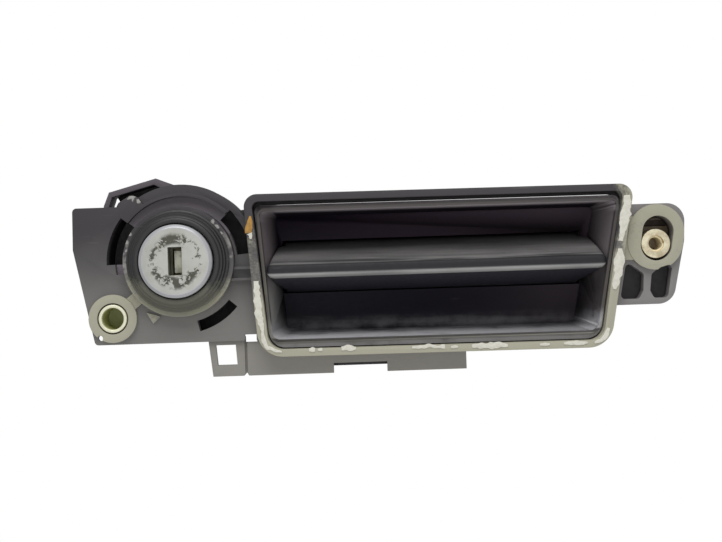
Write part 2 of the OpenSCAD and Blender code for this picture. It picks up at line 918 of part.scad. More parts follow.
module lock_rod_clip() {
    color(black_plastic)
        difference() {
            union() {
                rod_y(lock_x, lock_z - lock_lever_r, 2.9, lever_front - 0.4, lever_front + lever_t);
                rod_y(lock_x, lock_z - lock_lever_r, 4.2, lever_front + lever_t, lever_front + lever_t + 1.6);
                rod_y(lock_x, lock_z - lock_lever_r, 3.6, lever_front - 0.4, lever_front);
            }
            rod_y(lock_x, lock_z - lock_lever_r, 1.8, lever_front - 2, lever_front + lever_t + 3);
        }
}

module plug_spring() {
    color(steel)
        difference() {
            rod_y(lock_x, lock_z, 7.4, 26.3, 30.2);
            rod_y(lock_x, lock_z, tail_r, 26, 31);
        }
}

module shutter_pin() {
    color(steel)
        rod_z_hinge(shutter_pin_r, 5.4);
}

module shutter_spring() {
    color(steel)
        translate([hinge_x, hinge_y, lock_z + 2.3])
            difference() {
                cylinder(r = 0.85, h = 2.0);
                translate([0, 0, -1])
                    cylinder(r = shutter_pin_r, h = 4);
            }
}

module key_shutter() {
    color(steel)
        difference() {
            union() {
                translate([hinge_x, hinge_y, lock_z - 4.2])
                    cylinder(r = 0.9, h = 6.3);
                block(lock_x - 0.3, hinge_x, hinge_y - 0.9, hinge_y - 0.2, lock_z - 3.5, lock_z + 3.2);
            }
            translate([hinge_x, hinge_y, lock_z - 5])
                cylinder(r = shutter_pin_r + run_fit, h = 10);
            translate([hinge_x, hinge_y, lock_z + 2.1])
                cylinder(r = 1.0, h = 3);
        }
}

carrier_bracket();
grip_bowl();
recess_gasket();
bowl_screws();
mounting_sleeve();
floating_nut();
nut_cage();
lock_barrel();
lock_seal_ring();
barrel_clip();
shaft_bushes();
release_post();
rest_buffer();
pull_blade();
blade_shaft();
crank_arm();
drive_pin();
shaft_circlips();
return_spring();
release_lever();
lever_circlip();
release_rod_clip();
lock_plug();
lock_face_cap();
wafer_tumblers();
lock_lever();
tail_circlip();
lock_rod_clip();
plug_spring();
shutter_pin();
shutter_spring();
key_shutter();
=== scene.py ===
"""Looks of a car door handle: carrier bracket, grip bowl, pull blade, key lock and linkage."""

import logging
import math
import random
from dataclasses import dataclass, field
from enum import Enum
from typing import Callable, Iterable, Sequence

import bmesh
import bpy
from mathutils import Matrix, Vector


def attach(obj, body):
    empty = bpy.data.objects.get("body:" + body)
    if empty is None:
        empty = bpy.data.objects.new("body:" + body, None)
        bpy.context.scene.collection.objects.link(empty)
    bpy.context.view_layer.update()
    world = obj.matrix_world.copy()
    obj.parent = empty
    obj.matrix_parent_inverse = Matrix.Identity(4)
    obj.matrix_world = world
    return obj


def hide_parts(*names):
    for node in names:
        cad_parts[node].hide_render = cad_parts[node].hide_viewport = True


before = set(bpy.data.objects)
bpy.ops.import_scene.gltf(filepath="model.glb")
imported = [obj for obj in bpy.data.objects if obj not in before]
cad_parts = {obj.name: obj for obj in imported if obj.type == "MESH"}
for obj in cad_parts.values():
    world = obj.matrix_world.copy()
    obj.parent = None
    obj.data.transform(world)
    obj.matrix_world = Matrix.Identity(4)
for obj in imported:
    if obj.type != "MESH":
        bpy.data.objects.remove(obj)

logging.basicConfig(level=logging.INFO, format="%(message)s")
log = logging.getLogger("door_handle")

MM = 0.001
RIM_Y, COLLAR_Y = -4.0, -3.0
LEVEL_TOLERANCE = 0.02
NOSE_MID = 13.4
DRUM_CLEAR = 9.9
WORLD_LIGHT = 0.4
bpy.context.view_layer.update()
Point = tuple[float, float]
Color = tuple[float, float, float]

LOCK_X, LOCK_Z = 21.3, 17.1
SHAFT_Y, SHAFT_Z = 27.0, 14.4
NUT_X, NUT_Z = 169.4, 17.8


class Body(Enum):
    """The rigid bodies that pieces ride on."""

    HOUSING = "housing"
    BLADE = "blade"
    RELEASE = "release"
    PLUG = "plug"
    SHUTTER = "shutter"


# ---------------------------------------------------------------- outlines


@dataclass
class Outline:
    """A closed outline in X and Z, in millimetres, running anticlockwise.

    Attributes:
        points: The corners in order.
    """

    points: list[Point]

    @classmethod
    def circle(cls, x: float, z: float, r: float, count: int = 96) -> "Outline":
        """Makes a circle.

        Args:
            x: Centre across.
            z: Centre height.
            r: Radius.
            count: Number of corners.

        Returns:
            The circle as an outline.
        """
        step = 2 * math.pi / count
        return cls([(x + r * math.cos(i * step), z + r * math.sin(i * step)) for i in range(count)])

    @classmethod
    def rounded(cls, corners: Sequence[Point], radii: Sequence[float], steps: int = 8) -> "Outline":
        """Rounds each corner of a polygon with its own radius.

        Args:
            corners: The sharp corners, anticlockwise.
            radii: One radius a corner.
            steps: Faces in each rounded corner.

        Returns:
            The rounded outline.
        """
        made: list[Point] = []
        for i, (corner, r) in enumerate(zip(corners, radii)):
            here = Vector(corner)
            back = (Vector(corners[i - 1]) - here).normalized()
            ahead = (Vector(corners[(i + 1) % len(corners)]) - here).normalized()
            half = back.angle(ahead) / 2
            cut = r / math.tan(half)
            centre = here + (back + ahead).normalized() * (r / math.sin(half))
            a = here + back * cut - centre
            b = here + ahead * cut - centre
            turn = a.angle_signed(b)
            for k in range(steps + 1):
                p = a.copy()
                p.rotate(Matrix.Rotation(-turn * k / steps, 2))
                made.append(tuple(centre + p))
        return cls(made)

    def offset(self, distance: float) -> "Outline":
        """Moves every side outward, or inward where distance is negative.

        Args:
            distance: How far each side moves.

        Returns:
            The moved outline.
        """
        count = len(self.points)
        moved: list[Point] = []
        for i in range(count):
            a, b, c = (Vector(self.points[(i + k) % count]) for k in (-1, 0, 1))
            first, second = (b - a).normalized(), (c - b).normalized()
            out = Vector((first.y + second.y, -first.x - second.x))
            size = max(out.length_squared / 2, 0.6)
            moved.append(tuple(b + out * (distance / size)))
        return Outline(moved)


# ---------------------------------------------------------------- mesh work


@dataclass
class Piece:
    """A mesh under construction, in millimetres until it is finished.

    Attributes:
        name: Name of the finished object.
        bm: The mesh being shaped.
    """

    name: str
    bm: bmesh.types.BMesh = field(default_factory=bmesh.new)

    def loop(self, outline: Outline, y: float) -> list[bmesh.types.BMEdge]:
        """Lays an outline down as a closed ring of edges.

        Args:
            outline: The outline in X and Z.
            y: Its depth.

        Returns:
            The ring's edges in order.
        """
        return self.ring([self.bm.verts.new((x, y, z)) for x, z in outline.points])

    def ring(self, verts: list) -> list[bmesh.types.BMEdge]:
        """Joins vertices into a closed ring of edges."""
        return [self.bm.edges.new((v, verts[(i + 1) % len(verts)])) for i, v in enumerate(verts)]

    def bridge(self, rings: list[list]) -> None:
        """Joins each ring to the next with smooth faces."""
        for a, b in zip(rings, rings[1:]):
            for face in bmesh.ops.bridge_loops(self.bm, edges=a + b)["faces"]:
                face.smooth = True

    def wall(self, outline: Outline, steps: Sequence[tuple[float, float]]) -> list[list]:
        """Runs an outline through offsets and depths, each ring bridged to the last.

        Args:
            outline: The nominal outline.
            steps: Pairs of offset and depth.

        Returns:
            The edges of the first and the last ring.
        """
        rings = [self.loop(outline.offset(d), y) for d, y in steps]
        self.bridge(rings)
        return [rings[0], rings[-1]]

    def moulding(
        self, outer: Outline, holes: Sequence[Outline], y0: float, y1: float, round_r: float = 0.3
    ) -> None:
        """Makes a plate with holes whose front edges are rounded.

        Args:
            outer: Outside of the plate.
            holes: Outlines of its through holes.
            y0: Front face.
            y1: Back face.
            round_r: Radius of the front and back edges.
        """
        arc = [(1 - math.sin(t * math.pi / 6), 1 - math.cos(t * math.pi / 6)) for t in range(4)]
        profile = [(-round_r * b, y0 + round_r * a) for a, b in reversed(arc)]
        profile += [(-round_r * b, y1 - round_r * a) for a, b in arc]
        fronts, backs = [], []
        for outline, sign in [(outer, 1)] + [(h, -1) for h in holes]:
            first, last = self.wall(outline, [(d * sign, y) for d, y in profile])
            fronts += first
            backs += last
        for edges in (fronts, backs):
            bmesh.ops.triangle_fill(self.bm, edges=edges, use_beauty=True, use_dissolve=False)

    def turned(self, profile: Sequence[Point], centre: Point, steps: int = 96) -> None:
        """Turns a profile of radius and depth round an axis along Y.

        Args:
            profile: Pairs of radius and depth.
            centre: X and Z of the axis.
            steps: Faces round the axis.
        """
        origin = Vector((centre[0], 0, centre[1]))
        verts = [self.bm.verts.new(origin + Vector((r, t, 0))) for r, t in profile]
        edges = [self.bm.edges.new(pair) for pair in zip(verts, verts[1:] + verts[:1])]
        bmesh.ops.spin(
            self.bm, geom=verts + edges, cent=origin, axis=Vector((0, 1, 0)), angle=2 * math.pi,
            steps=steps, use_merge=True, use_duplicate=False,
        )
        bmesh.ops.remove_doubles(self.bm, verts=self.bm.verts[:], dist=1e-4)

    def coil(
        self, centre: Point, start: float, length: float, r: float, wire: float, turns: float,
        axis: str = "X",
    ) -> None:
        """Winds a round wire into a helix with capped ends.

        Args:
            centre: The two other coordinates of the axis, in the order X, Y, Z.
            start: Where the coil begins along the axis.
            length: Length of the coil.
            r: Radius of the wire's centreline.
            wire: Radius of the wire.
            turns: Number of turns.
            axis: X, Y or Z.
        """
        steps = int(turns * 28)
        vectors = {
            "X": (Vector((start, centre[0], centre[1])), Vector((1, 0, 0)), Vector((0, r, 0))),
            "Y": (Vector((centre[0], start, centre[1])), Vector((0, 1, 0)), Vector((r, 0, 0))),
            "Z": (Vector((centre[0], centre[1], start)), Vector((0, 0, 1)), Vector((r, 0, 0))),
        }
        origin, along, arm = vectors[axis]
        facing = along.cross(arm).to_track_quat("Z", "Y").to_matrix().to_4x4()
        ring = bmesh.ops.create_circle(
            self.bm, cap_ends=False, radius=wire, segments=10,
            matrix=Matrix.Translation(origin + arm) @ facing,
        )["verts"]
        edges = list({e for v in ring for e in v.link_edges})
        made = bmesh.ops.spin(
            self.bm, geom=ring + edges, cent=origin, axis=along, dvec=along * (length / steps),
            angle=2 * math.pi * turns, steps=steps, use_merge=False, use_duplicate=False,
        )
        last = [g for g in made["geom_last"] if isinstance(g, bmesh.types.BMEdge)]
        bmesh.ops.contextual_create(self.bm, geom=last)
        bmesh.ops.contextual_create(self.bm, geom=[e for e in edges if e.is_valid])

    def finish(
        self, body: Body, material: bpy.types.Material, replaces: Iterable[str] = (),
        sharp: float = 50,
    ) -> bpy.types.Object:
        """Turns the mesh into an object that rides on a body.

        Args:
            body: The body it moves with.
            material: Its material.
            replaces: CAD nodes that it stands for.
            sharp: Angle in degrees over which an edge stays sharp.

        Returns:
            The finished object.
        """
        bmesh.ops.recalc_face_normals(self.bm, faces=self.bm.faces[:])
        bmesh.ops.scale(self.bm, vec=(MM, MM, MM), verts=self.bm.verts[:])
        mesh = bpy.data.meshes.new(self.name)
        self.bm.to_mesh(mesh)
        self.bm.free()
        mesh.set_sharp_from_angle(angle=math.radians(sharp))
        made = bpy.data.objects.new(self.name, mesh)
        bpy.context.scene.collection.objects.link(made)
        mesh.materials.append(material)
        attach(made, body.value)
        if replaces:
            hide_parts(*replaces)
        log.info("%s: %d faces", self.name, len(mesh.polygons))
        return made


def edged_copy(
    node: str, name: str, body: Body, material: bpy.types.Material, slot: str,
    edge: float = 0.25, angle: float = 32, segments: int = 2,
    wide: Callable[[bmesh.types.BMEdge], bool] | None = None, wide_edge: float = 0.7,
) -> bpy.types.Object:
    """Copies a CAD node, merges it and rounds its hard edges.

    Args:
        node: The CAD node.
        name: Name of the new piece.
        body: The body it rides on.
        material: Its material.
        slot: Not used.
        edge: Width of the rounding in millimetres.
        angle: Edges turned more than this many degrees are rounded.
        segments: Faces across a rounded edge.
        wide: Tells which edges get the wider rounding first.
        wide_edge: Width of that rounding.

    Returns:
        The finished object.
    """
    piece = Piece(name)
    bm = piece.bm
    bm.from_mesh(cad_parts[node].data)
    bmesh.ops.scale(bm, vec=(1 / MM,) * 3, verts=bm.verts[:])
    bmesh.ops.remove_doubles(bm, verts=bm.verts[:], dist=1e-3)
    bmesh.ops.dissolve_limit(
        bm, angle_limit=math.radians(0.6), verts=bm.verts[:], edges=bm.edges[:],
        use_dissolve_boundaries=False,
    )
    for face in bm.faces:
        turns = [math.degrees(e.calc_face_angle(0)) for e in face.edges if len(e.link_faces) == 2]
        face.smooth = any(0.9 < t < angle - 4 for t in turns)
    for chosen, width in ((wide, wide_edge), (lambda _: True, edge)):
        hard = [
            e for e in bm.edges
            if len(e.link_faces) == 2 and e.calc_face_angle(0) > math.radians(angle)
            and chosen and chosen(e)
        ]
        if not hard:
            continue
        made = bmesh.ops.bevel(
            bm, geom=hard, offset=width, affect="EDGES", segments=segments, profile=0.5,
            material=-1, clamp_overlap=True,
        )
        for face in made["faces"]:
            face.smooth = True
    return piece.finish(body, material, [node])


def dress(body: Body, rows: Sequence[tuple]) -> None:
    """Makes edged copies on one body.

    Args:
        body: The body they ride on.
        rows: Node, name, material, slot, edge, angle and segments of each.
    """
    for node, name, *rest in rows:
        edged_copy(node, name, body, *rest)


# ---------------------------------------------------------------- node work


@dataclass
class Nodes:
    """Shorthand for building one node tree.

    Attributes:
        tree: The node tree.
    """

    tree: bpy.types.NodeTree

    def add(self, kind: str, **settings: object) -> bpy.types.Node:
        """Adds a node and sets its properties.

        Args:
            kind: Node type without the ShaderNode prefix.
            **settings: Properties to set.

        Returns:
            The node.
        """
        node = self.tree.nodes.new("ShaderNode" + kind)
        for key, value in settings.items():
            setattr(node, key, value)
        return node

    def put(self, socket: bpy.types.NodeSocket, value: object) -> None:
        """Links a socket to another, or sets its value."""
        if isinstance(value, bpy.types.NodeSocket):
            self.tree.links.new(value, socket)
        elif isinstance(value, tuple) and len(value) == 3 and socket.type == "RGBA":
            socket.default_value = (*value, 1)
        else:
            socket.default_value = value

    def math(self, operation: str, *values: object, clamp: bool = False) -> bpy.types.NodeSocket:
        """Adds a Math node.

        Args:
            operation: The operation's name.
            *values: Sockets or numbers.
            clamp: True to keep the result from 0 to 1.

        Returns:
            The result.
        """
        node = self.add("Math", operation=operation, use_clamp=clamp)
        for socket, value in zip(node.inputs, values):
            self.put(socket, value)
        return node.outputs[0]

    def times(self, *values: object) -> bpy.types.NodeSocket:
        """Multiplies sockets and numbers from left to right."""
        made = values[0]
        for value in values[1:]:
            made = self.math("MULTIPLY", made, value)
        return made

    def parts(self, vector: object) -> tuple:
        """Splits a vector into its X, Y and Z."""
        split = self.add("SeparateXYZ")
        self.put(split.inputs[0], vector)
        return tuple(split.outputs)

    def group(self, tree: bpy.types.NodeTree, vector: object, **values: object) -> bpy.types.Node:
        """Adds a shared group.

        Args:
            tree: The group's tree.
            vector: Where it is read.
            **values: Its other inputs, with _ for a space.

        Returns:
            The group's node.
        """
        node = self.add("Group", node_tree=tree)
        self.put(node.inputs["Vector"], vector)
        for key, value in values.items():
            self.put(node.inputs[key.replace("_", " ")], value)
        return node

    def mix(self, factor: object, a: object, b: object, how: str = "MIX") -> bpy.types.NodeSocket:
        """Adds a colour Mix node.

        Args:
            factor: Share of b.
            a: First colour.
            b: Second colour.
            how: Blend type.

        Returns:
            The mixed colour.
        """
        node = self.add("Mix", data_type="RGBA", blend_type=how)
        self.put(node.inputs["Factor"], factor)
        self.put(node.inputs[6], a)
        self.put(node.inputs[7], b)
        return node.outputs[2]

    def blend(self, factor: object, a: object, b: object) -> bpy.types.NodeSocket:
        """Blends two numbers.

        Args:
            factor: Share of b.
            a: First number.
            b: Second number.

        Returns:
            The blended number.
        """
        node = self.add("Mix", data_type="FLOAT")
        for socket, value in zip((node.inputs["Factor"], node.inputs[2], node.inputs[3]), (factor, a, b)):
            self.put(socket, value)
        return node.outputs[0]

    def span(self, value: object, low: float, high: float, to_low: float = 0, to_high: float = 1,
             smooth: bool = True) -> bpy.types.NodeSocket:
        """Maps a span of values onto another, clamped.

        Args:
            value: The input.
            low: Input that gives to_low.
            high: Input that gives to_high.
            to_low: Output at low.
            to_high: Output at high.
            smooth: True for an eased change.

        Returns:
            The mapped value.
        """
        node = self.add("MapRange", interpolation_type="SMOOTHSTEP" if smooth else "LINEAR", clamp=True)
        for socket, v in zip(node.inputs, (value, low, high, to_low, to_high)):
            self.put(socket, v)
        return node.outputs[0]

    def noise(self, vector: object, scale: float, detail: float = 3, rough: float = 0.55,
              distort: float = 0) -> bpy.types.NodeSocket:
        """Adds a noise texture.

        Args:
            vector: Where it is read.
            scale: Cells per metre.
            detail: Octaves.
            rough: Strength of the finer octaves.
            distort: Twist of the pattern.

        Returns:
            The noise value.
        """
        node = self.add("TexNoise")
        self.put(node.inputs["Vector"], vector)
        node.inputs["Scale"].default_value = scale
        node.inputs["Detail"].default_value = detail
        node.inputs["Roughness"].default_value = rough
        node.inputs["Distortion"].default_value = distort
        return node.outputs["Fac"]

    def stretched(self, vector: object, scale: tuple[float, float, float],
                  turn: tuple[float, float, float] = (0, 0, 0)) -> bpy.types.NodeSocket:
        """Scales and turns coordinates with a Mapping node.

        Args:
            vector: The coordinates.
            scale: Scale along each axis.
            turn: Turn about each axis in degrees.

        Returns:
            The mapped coordinates.
        """
        node = self.add("Mapping")
        self.put(node.inputs["Vector"], vector)
        node.inputs["Scale"].default_value = scale
        node.inputs["Rotation"].default_value = tuple(math.radians(t) for t in turn)
        return node.outputs["Vector"]


class SharedGroups:
    """Shader node groups that several finishes use."""

    def __init__(self) -> None:
        """Builds each group once."""
        self.grain = self._grain()
        self.dust = self._dust()
        self.scuffs = self._scuffs()
        self.wear_and_highlight_patch = self._wear_and_highlight_patch()

    @staticmethod
    def _group(name: str, inputs: dict[str, tuple[str, object]], outputs: dict[str, str]) -> tuple:
        """Starts a group with its sockets.

        Args:
            name: Name of the group.
            inputs: Socket names with type and default.
            outputs: Socket names with type.

        Returns:
            The tree, its node helper, and its input and output nodes.
        """
        tree = bpy.data.node_groups.new(name, "ShaderNodeTree")
        for key, (kind, default) in inputs.items():
            socket = tree.interface.new_socket(name=key, in_out="INPUT", socket_type=kind)
            if default is not None:
                socket.default_value = default
        for key, kind in outputs.items():
            tree.interface.new_socket(name=key, in_out="OUTPUT", socket_type=kind)
        entry, leave = tree.nodes.new("NodeGroupInput"), tree.nodes.new("NodeGroupOutput")
        return tree, Nodes(tree), entry, leave

    def _grain(self) -> bpy.types.NodeTree:
        """Fine moulded grain with a slow mottle."""
        tree, n, entry, leave = self._group(
            "moulded_grain",
            {"Vector": ("NodeSocketVector", None), "Mottle Amount": ("NodeSocketFloat", 0.15)},
            {"Height": "NodeSocketFloat", "Mottle": "NodeSocketFloat", "Rough Shift": "NodeSocketFloat"},
        )
        vector = entry.outputs["Vector"]
        fine = n.noise(vector, 2600, 2, 0.6)
        coarse = n.noise(vector, 700, 3, 0.5)
        slow = n.noise(vector, 55, 4, 0.6)
        height = n.math("ADD", n.times(fine, 0.6), n.times(coarse, 0.4))
        shift = n.times(n.math("SUBTRACT", slow, 0.5), entry.outputs["Mottle Amount"])
        n.put(leave.inputs["Height"], height)
        n.put(leave.inputs["Mottle"], n.math("ADD", 1, n.times(shift, 2)))
        n.put(leave.inputs["Rough Shift"], n.times(n.math("SUBTRACT", coarse, 0.5), 0.25))
        return tree

    def _dust(self) -> bpy.types.NodeTree:
        """Dust that settles in patches, thicker where Reach is high."""
        tree, n, entry, leave = self._group(
            "settled_dust",
            {"Vector": ("NodeSocketVector", None), "Reach": ("NodeSocketFloat", 0.5)},
            {"Mask": "NodeSocketFloat", "Height": "NodeSocketFloat"},
        )
        vector = entry.outputs["Vector"]
        patch = n.noise(vector, 160, 5, 0.65)
        speck = n.noise(vector, 1500, 3, 0.6)
        both = n.math("ADD", n.times(patch, 0.65), n.times(speck, 0.35))
        lifted = n.math("ADD", both, n.math("SUBTRACT", entry.outputs["Reach"], 0.5))
        mask = n.span(lifted, 0.38, 0.72)
        n.put(leave.inputs["Mask"], mask)
        n.put(leave.inputs["Height"], n.times(speck, mask))
        return tree

    def _scuffs(self) -> bpy.types.NodeTree:
        """Thin rubbed streaks in two directions."""
        tree, n, entry, leave = self._group(
            "thin_scuffs",
            {"Vector": ("NodeSocketVector", None), "Amount": ("NodeSocketFloat", 0.5)},
            {"Mask": "NodeSocketFloat"},
        )
        vector = entry.outputs["Vector"]
        streaks = []
        for turn in ((0, 20, 0), (0, -52, 0)):
            turned = n.stretched(vector, (60, 60, 1500), turn)
            streaks.append(n.span(n.noise(turned, 1, 2, 0.5), 0.66, 0.74))
        where = n.span(n.noise(vector, 90, 2), 0.45, 0.65)
        both = n.times(n.math("MAXIMUM", *streaks), where)
        n.put(leave.inputs["Mask"], n.times(both, entry.outputs["Amount"]))
        return tree

    def _wear_and_highlight_patch(self) -> bpy.types.NodeTree:
        """A ragged patch round one place, used for rubbed wear and for painted highlights."""
        tree, n, entry, leave = self._group(
            "rubbed_and_highlight_patch",
            {
                "Vector": ("NodeSocketVector", None),
                "Place": ("NodeSocketVector", None),
                "Radius": ("NodeSocketFloat", 0.002),
            },
            {"Mask": "NodeSocketFloat"},
        )
        away = n.add("VectorMath", operation="DISTANCE")
        n.put(away.inputs[0], entry.outputs["Vector"])
        n.put(away.inputs[1], entry.outputs["Place"])
        share = n.math("DIVIDE", away.outputs["Value"], entry.outputs["Radius"])
        ragged = n.noise(entry.outputs["Vector"], 800, 4, 0.65)
        level = n.math("SUBTRACT", n.times(ragged, 2.2), share)
        n.put(leave.inputs["Mask"], n.span(level, 0.1, 0.5))
        return tree


GROUPS = SharedGroups()


@dataclass(frozen=True)
class Finish:
    """Base of every finish: a Principled material with grain and bump.

    Attributes:
        name: Name of the material.
        color: Base colour, linear.
        roughness: Mean roughness.
        metallic: 0 or 1.
        specular: Specular level.
        grain: Depth of the grain in millimetres.
        mottle: How much the colour varies.
    """

    name: str
    color: Color
    roughness: float = 0.5
    metallic: float = 0.0
    specular: float = 0.5
    grain: float = 0.02
    mottle: float = 0.15

    def start(self) -> tuple:
        """Makes the material with its shader, coordinates and grain.

        Returns:
            The material, node helper, shader, coordinates and grain node.
        """
        material = bpy.data.materials.new(self.name)
        material.use_nodes = True
        n = Nodes(material.node_tree)
        shader = material.node_tree.nodes["Principled BSDF"]
        shader.inputs["Metallic"].default_value = self.metallic
        shader.inputs["Specular IOR Level"].default_value = self.specular
        where = n.add("TexCoord").outputs["Object"]
        grain = n.group(GROUPS.grain, where, Mottle_Amount=self.mottle)
        return material, n, shader, where, grain

    def bump(self, n: Nodes, shader: bpy.types.Node, height: object, depth: float) -> None:
        """Feeds a height through a Bump node into the shader.

        Args:
            n: Node helper.
            shader: The Principled shader.
            height: The height from 0 to 1.
            depth: Its depth in millimetres.
        """
        bump = n.add("Bump")
        bump.inputs["Strength"].default_value = 1.0
        bump.inputs["Distance"].default_value = depth * MM
        n.put(bump.inputs["Height"], height)
        n.put(shader.inputs["Normal"], bump.outputs["Normal"])

    def plain_surface(self, n: Nodes, shader: bpy.types.Node, grain: bpy.types.Node) -> None:
        """Sets the roughness and the bump from the grain alone."""
        rough = n.math("ADD", self.roughness, grain.outputs["Rough Shift"], clamp=True)
        n.put(shader.inputs["Roughness"], rough)
        self.bump(n, shader, grain.outputs["Height"], self.grain)

    def build(self) -> bpy.types.Material:
        """Builds the plain form of the finish."""
        material, n, shader, where, grain = self.start()
        color = n.mix(1.0, self.color, grain.outputs["Mottle"], "MULTIPLY")
        n.put(shader.inputs["Base Color"], color)
        self.plain_surface(n, shader, grain)
        return material


@dataclass(frozen=True)
class CarrierPlastic(Finish):
    """Dark filled plastic, purple-grey at the top and lighter toward the bottom, dusty below and on
    raised rings, with painted highlights on the upper lobe, painted light on the dish floor and painted
    shade on what lies far back.

    Attributes:
        low_color: Colour toward the lower edge.
        dust_color: Colour of the settled dust.
        wear_and_highlight_color: Colour of rubbed edges, and of the painted highlights on the upper lobe.
        painted_deep_shade: Painted shade over what lies far back.
        strip_color: Colour of the lower strip.
        ear_color: Colour of the right ear.
        dish_floor_light: Painted light on the dish floor round the lock, where the collar and wall shade
            it.
        collar_color: Colour of the dusty lower half of the collar.
        loop_color: Colour of the front of the upper loop.
        rubbed_and_highlit: Place and radius of each rubbed patch, in millimetres; those on the upper lobe
            are painted highlights.
    """

    low_color: Color = (0.205, 0.20, 0.19)
    dust_color: Color = (0.47, 0.455, 0.35)
    wear_and_highlight_color: Color = (0.36, 0.35, 0.33)
    painted_deep_shade: Color = (0.014, 0.012, 0.015)
    strip_color: Color = (0.285, 0.272, 0.245)
    ear_color: Color = (0.235, 0.222, 0.222)
    dish_floor_light: Color = (0.165, 0.146, 0.168)
    collar_color: Color = (0.27, 0.272, 0.20)
    loop_color: Color = (0.105, 0.092, 0.107)
    # patches on the upper lobe, Z above 35, are painted highlights; those on the collar are rubbed wear
    rubbed_and_highlit: tuple[tuple[tuple[float, float, float], float], ...] = (
        ((6.9, 2.0, 37.7), 1.5), ((9.0, 2.0, 36.6), 0.9), ((-0.6, 9.0, 35.8), 1.5),
        ((32.4, -3.0, 29.0), 0.9), ((33.6, -3.0, 27.4), 0.8), ((34.8, -3.0, 25.4), 0.7),
        ((6.6, -3.0, 26.0), 0.8), ((5.5, -3.0, 20.9), 0.5), ((9.6, -2.6, 6.2), 1.1), (
            (8.2, -2.8, 8.4), 1.4,
        ),
        ((6.9, -2.8, 11.2), 0.9), ((5.9, -2.8, 23.6), 0.8), ((4.2, 2.0, 37.9), 1.2),
    )

    def build(self) -> bpy.types.Material:
        """Builds the plastic with its height-dependent tone, dust, scuffs, worn edges, painted
        highlights, painted light on the dish floor and painted shade far back.
        """
        material, n, shader, where, grain = self.start()
        x, y, z = n.parts(where)
        soft = n.times(n.math("SUBTRACT", n.noise(where, 30, 3), 0.5), 0.03)
        height = n.math("ADD", z, soft)
        low = n.span(height, 0.031, -0.009)
        tone = n.mix(low, self.color, self.low_color)
        tone = n.mix(n.span(z, -0.0082, -0.0098), tone, self.strip_color)
        tone = n.mix(n.times(n.span(x, 0.156, 0.161), n.span(y, 0.0009, 0.0014)), tone, self.ear_color)
        tone = n.mix(1.0, tone, grain.outputs["Mottle"], "MULTIPLY")
        # dust lies on what stands forward and faces out low down, and round both bosses
        forward = n.span(y, 0.0024, 0.0004)
        lower = n.span(height, 0.021, 0.006)
        right = n.span(x, 0.150, 0.162)
        rim_side = n.times(n.span(x, 0.039, 0.044, 0.0, 0.62), n.span(height, 0.033, 0.022))
        reach = n.times(forward, n.math("MAXIMUM", n.math("MAXIMUM", lower, right), rim_side))
        reach = n.math("ADD", n.times(reach, 0.72), n.times(low, 0.1))
        dust = n.group(GROUPS.dust, where, Reach=reach)
        tone = n.mix(n.times(dust.outputs["Mask"], 0.85), tone, self.dust_color)
        # rubbed wear on the collar and painted highlights on the upper lobe
        for place, radius in self.rubbed_and_highlit:
            at = tuple(v * MM for v in place)
            patch = n.group(GROUPS.wear_and_highlight_patch, where, Place=at, Radius=radius * MM)
            tone = n.mix(patch.outputs["Mask"], tone, self.wear_and_highlight_color)
        # distance from the lock's axis, for the collar and the dish round it
        flat = n.add("Mapping", vector_type="POINT")
        n.put(flat.inputs["Vector"], where)
        flat.inputs["Location"].default_value = (-LOCK_X * MM, 0, -LOCK_Z * MM)
        flat.inputs["Scale"].default_value = (1, 0, 1)
        length = n.add("VectorMath", operation="LENGTH")
        n.put(length.inputs[0], flat.outputs[0])
        r = length.outputs["Value"]
        ring = n.times(n.span(r, 0.0156, 0.0159), n.span(r, 0.0178, 0.0172))
        ring = n.times(ring, n.span(y, -0.0018, -0.0026))
        ring = n.times(ring, n.span(n.noise(where, 150, 3, 0.6), 0.5, 0.62))
        tone = n.mix(n.times(ring, n.span(z, 0.029, 0.018)), tone, self.wear_and_highlight_color)
        front = n.times(n.span(y, -0.0018, -0.0026), n.span(r, 0.0180, 0.0174))
        front = n.times(front, n.span(r, 0.0155, 0.0159))
        tone = n.mix(n.times(front, n.span(height, 0.016, 0.003, 0.0, 0.7)), tone, self.collar_color)
        # painted light on the dish floor round the lock
        dish = n.times(n.span(r, 0.0216, 0.0209), n.span(y, 0.0034, 0.0042))
        tone = n.mix(n.times(dish, n.span(r, 0.0169, 0.0173)), tone, self.dish_floor_light)
        scuffs = n.group(GROUPS.scuffs, where, Amount=0.16)
        tone = n.mix(scuffs.outputs["Mask"], tone, self.wear_and_highlight_color)
        # painted shade: everything lying far back is darkened
        tone = n.mix(n.span(y, 0.0048, 0.0075), tone, self.painted_deep_shade)
        loop = n.times(n.span(z, 0.0346, 0.0352), n.span(y, 0.0130, 0.0105))
        tone = n.mix(n.times(loop, n.span(y, 0.0080, 0.0088)), tone, self.loop_color)
        n.put(shader.inputs["Base Color"], tone)
        rough = n.math("ADD", self.roughness, grain.outputs["Rough Shift"])
        rough = n.math("ADD", rough, n.times(dust.outputs["Mask"], 0.3), clamp=True)
        n.put(shader.inputs["Roughness"], rough)
        relief = n.math("ADD", grain.outputs["Height"], n.times(dust.outputs["Height"], 2))
        self.bump(n, shader, relief, self.grain)
        return material


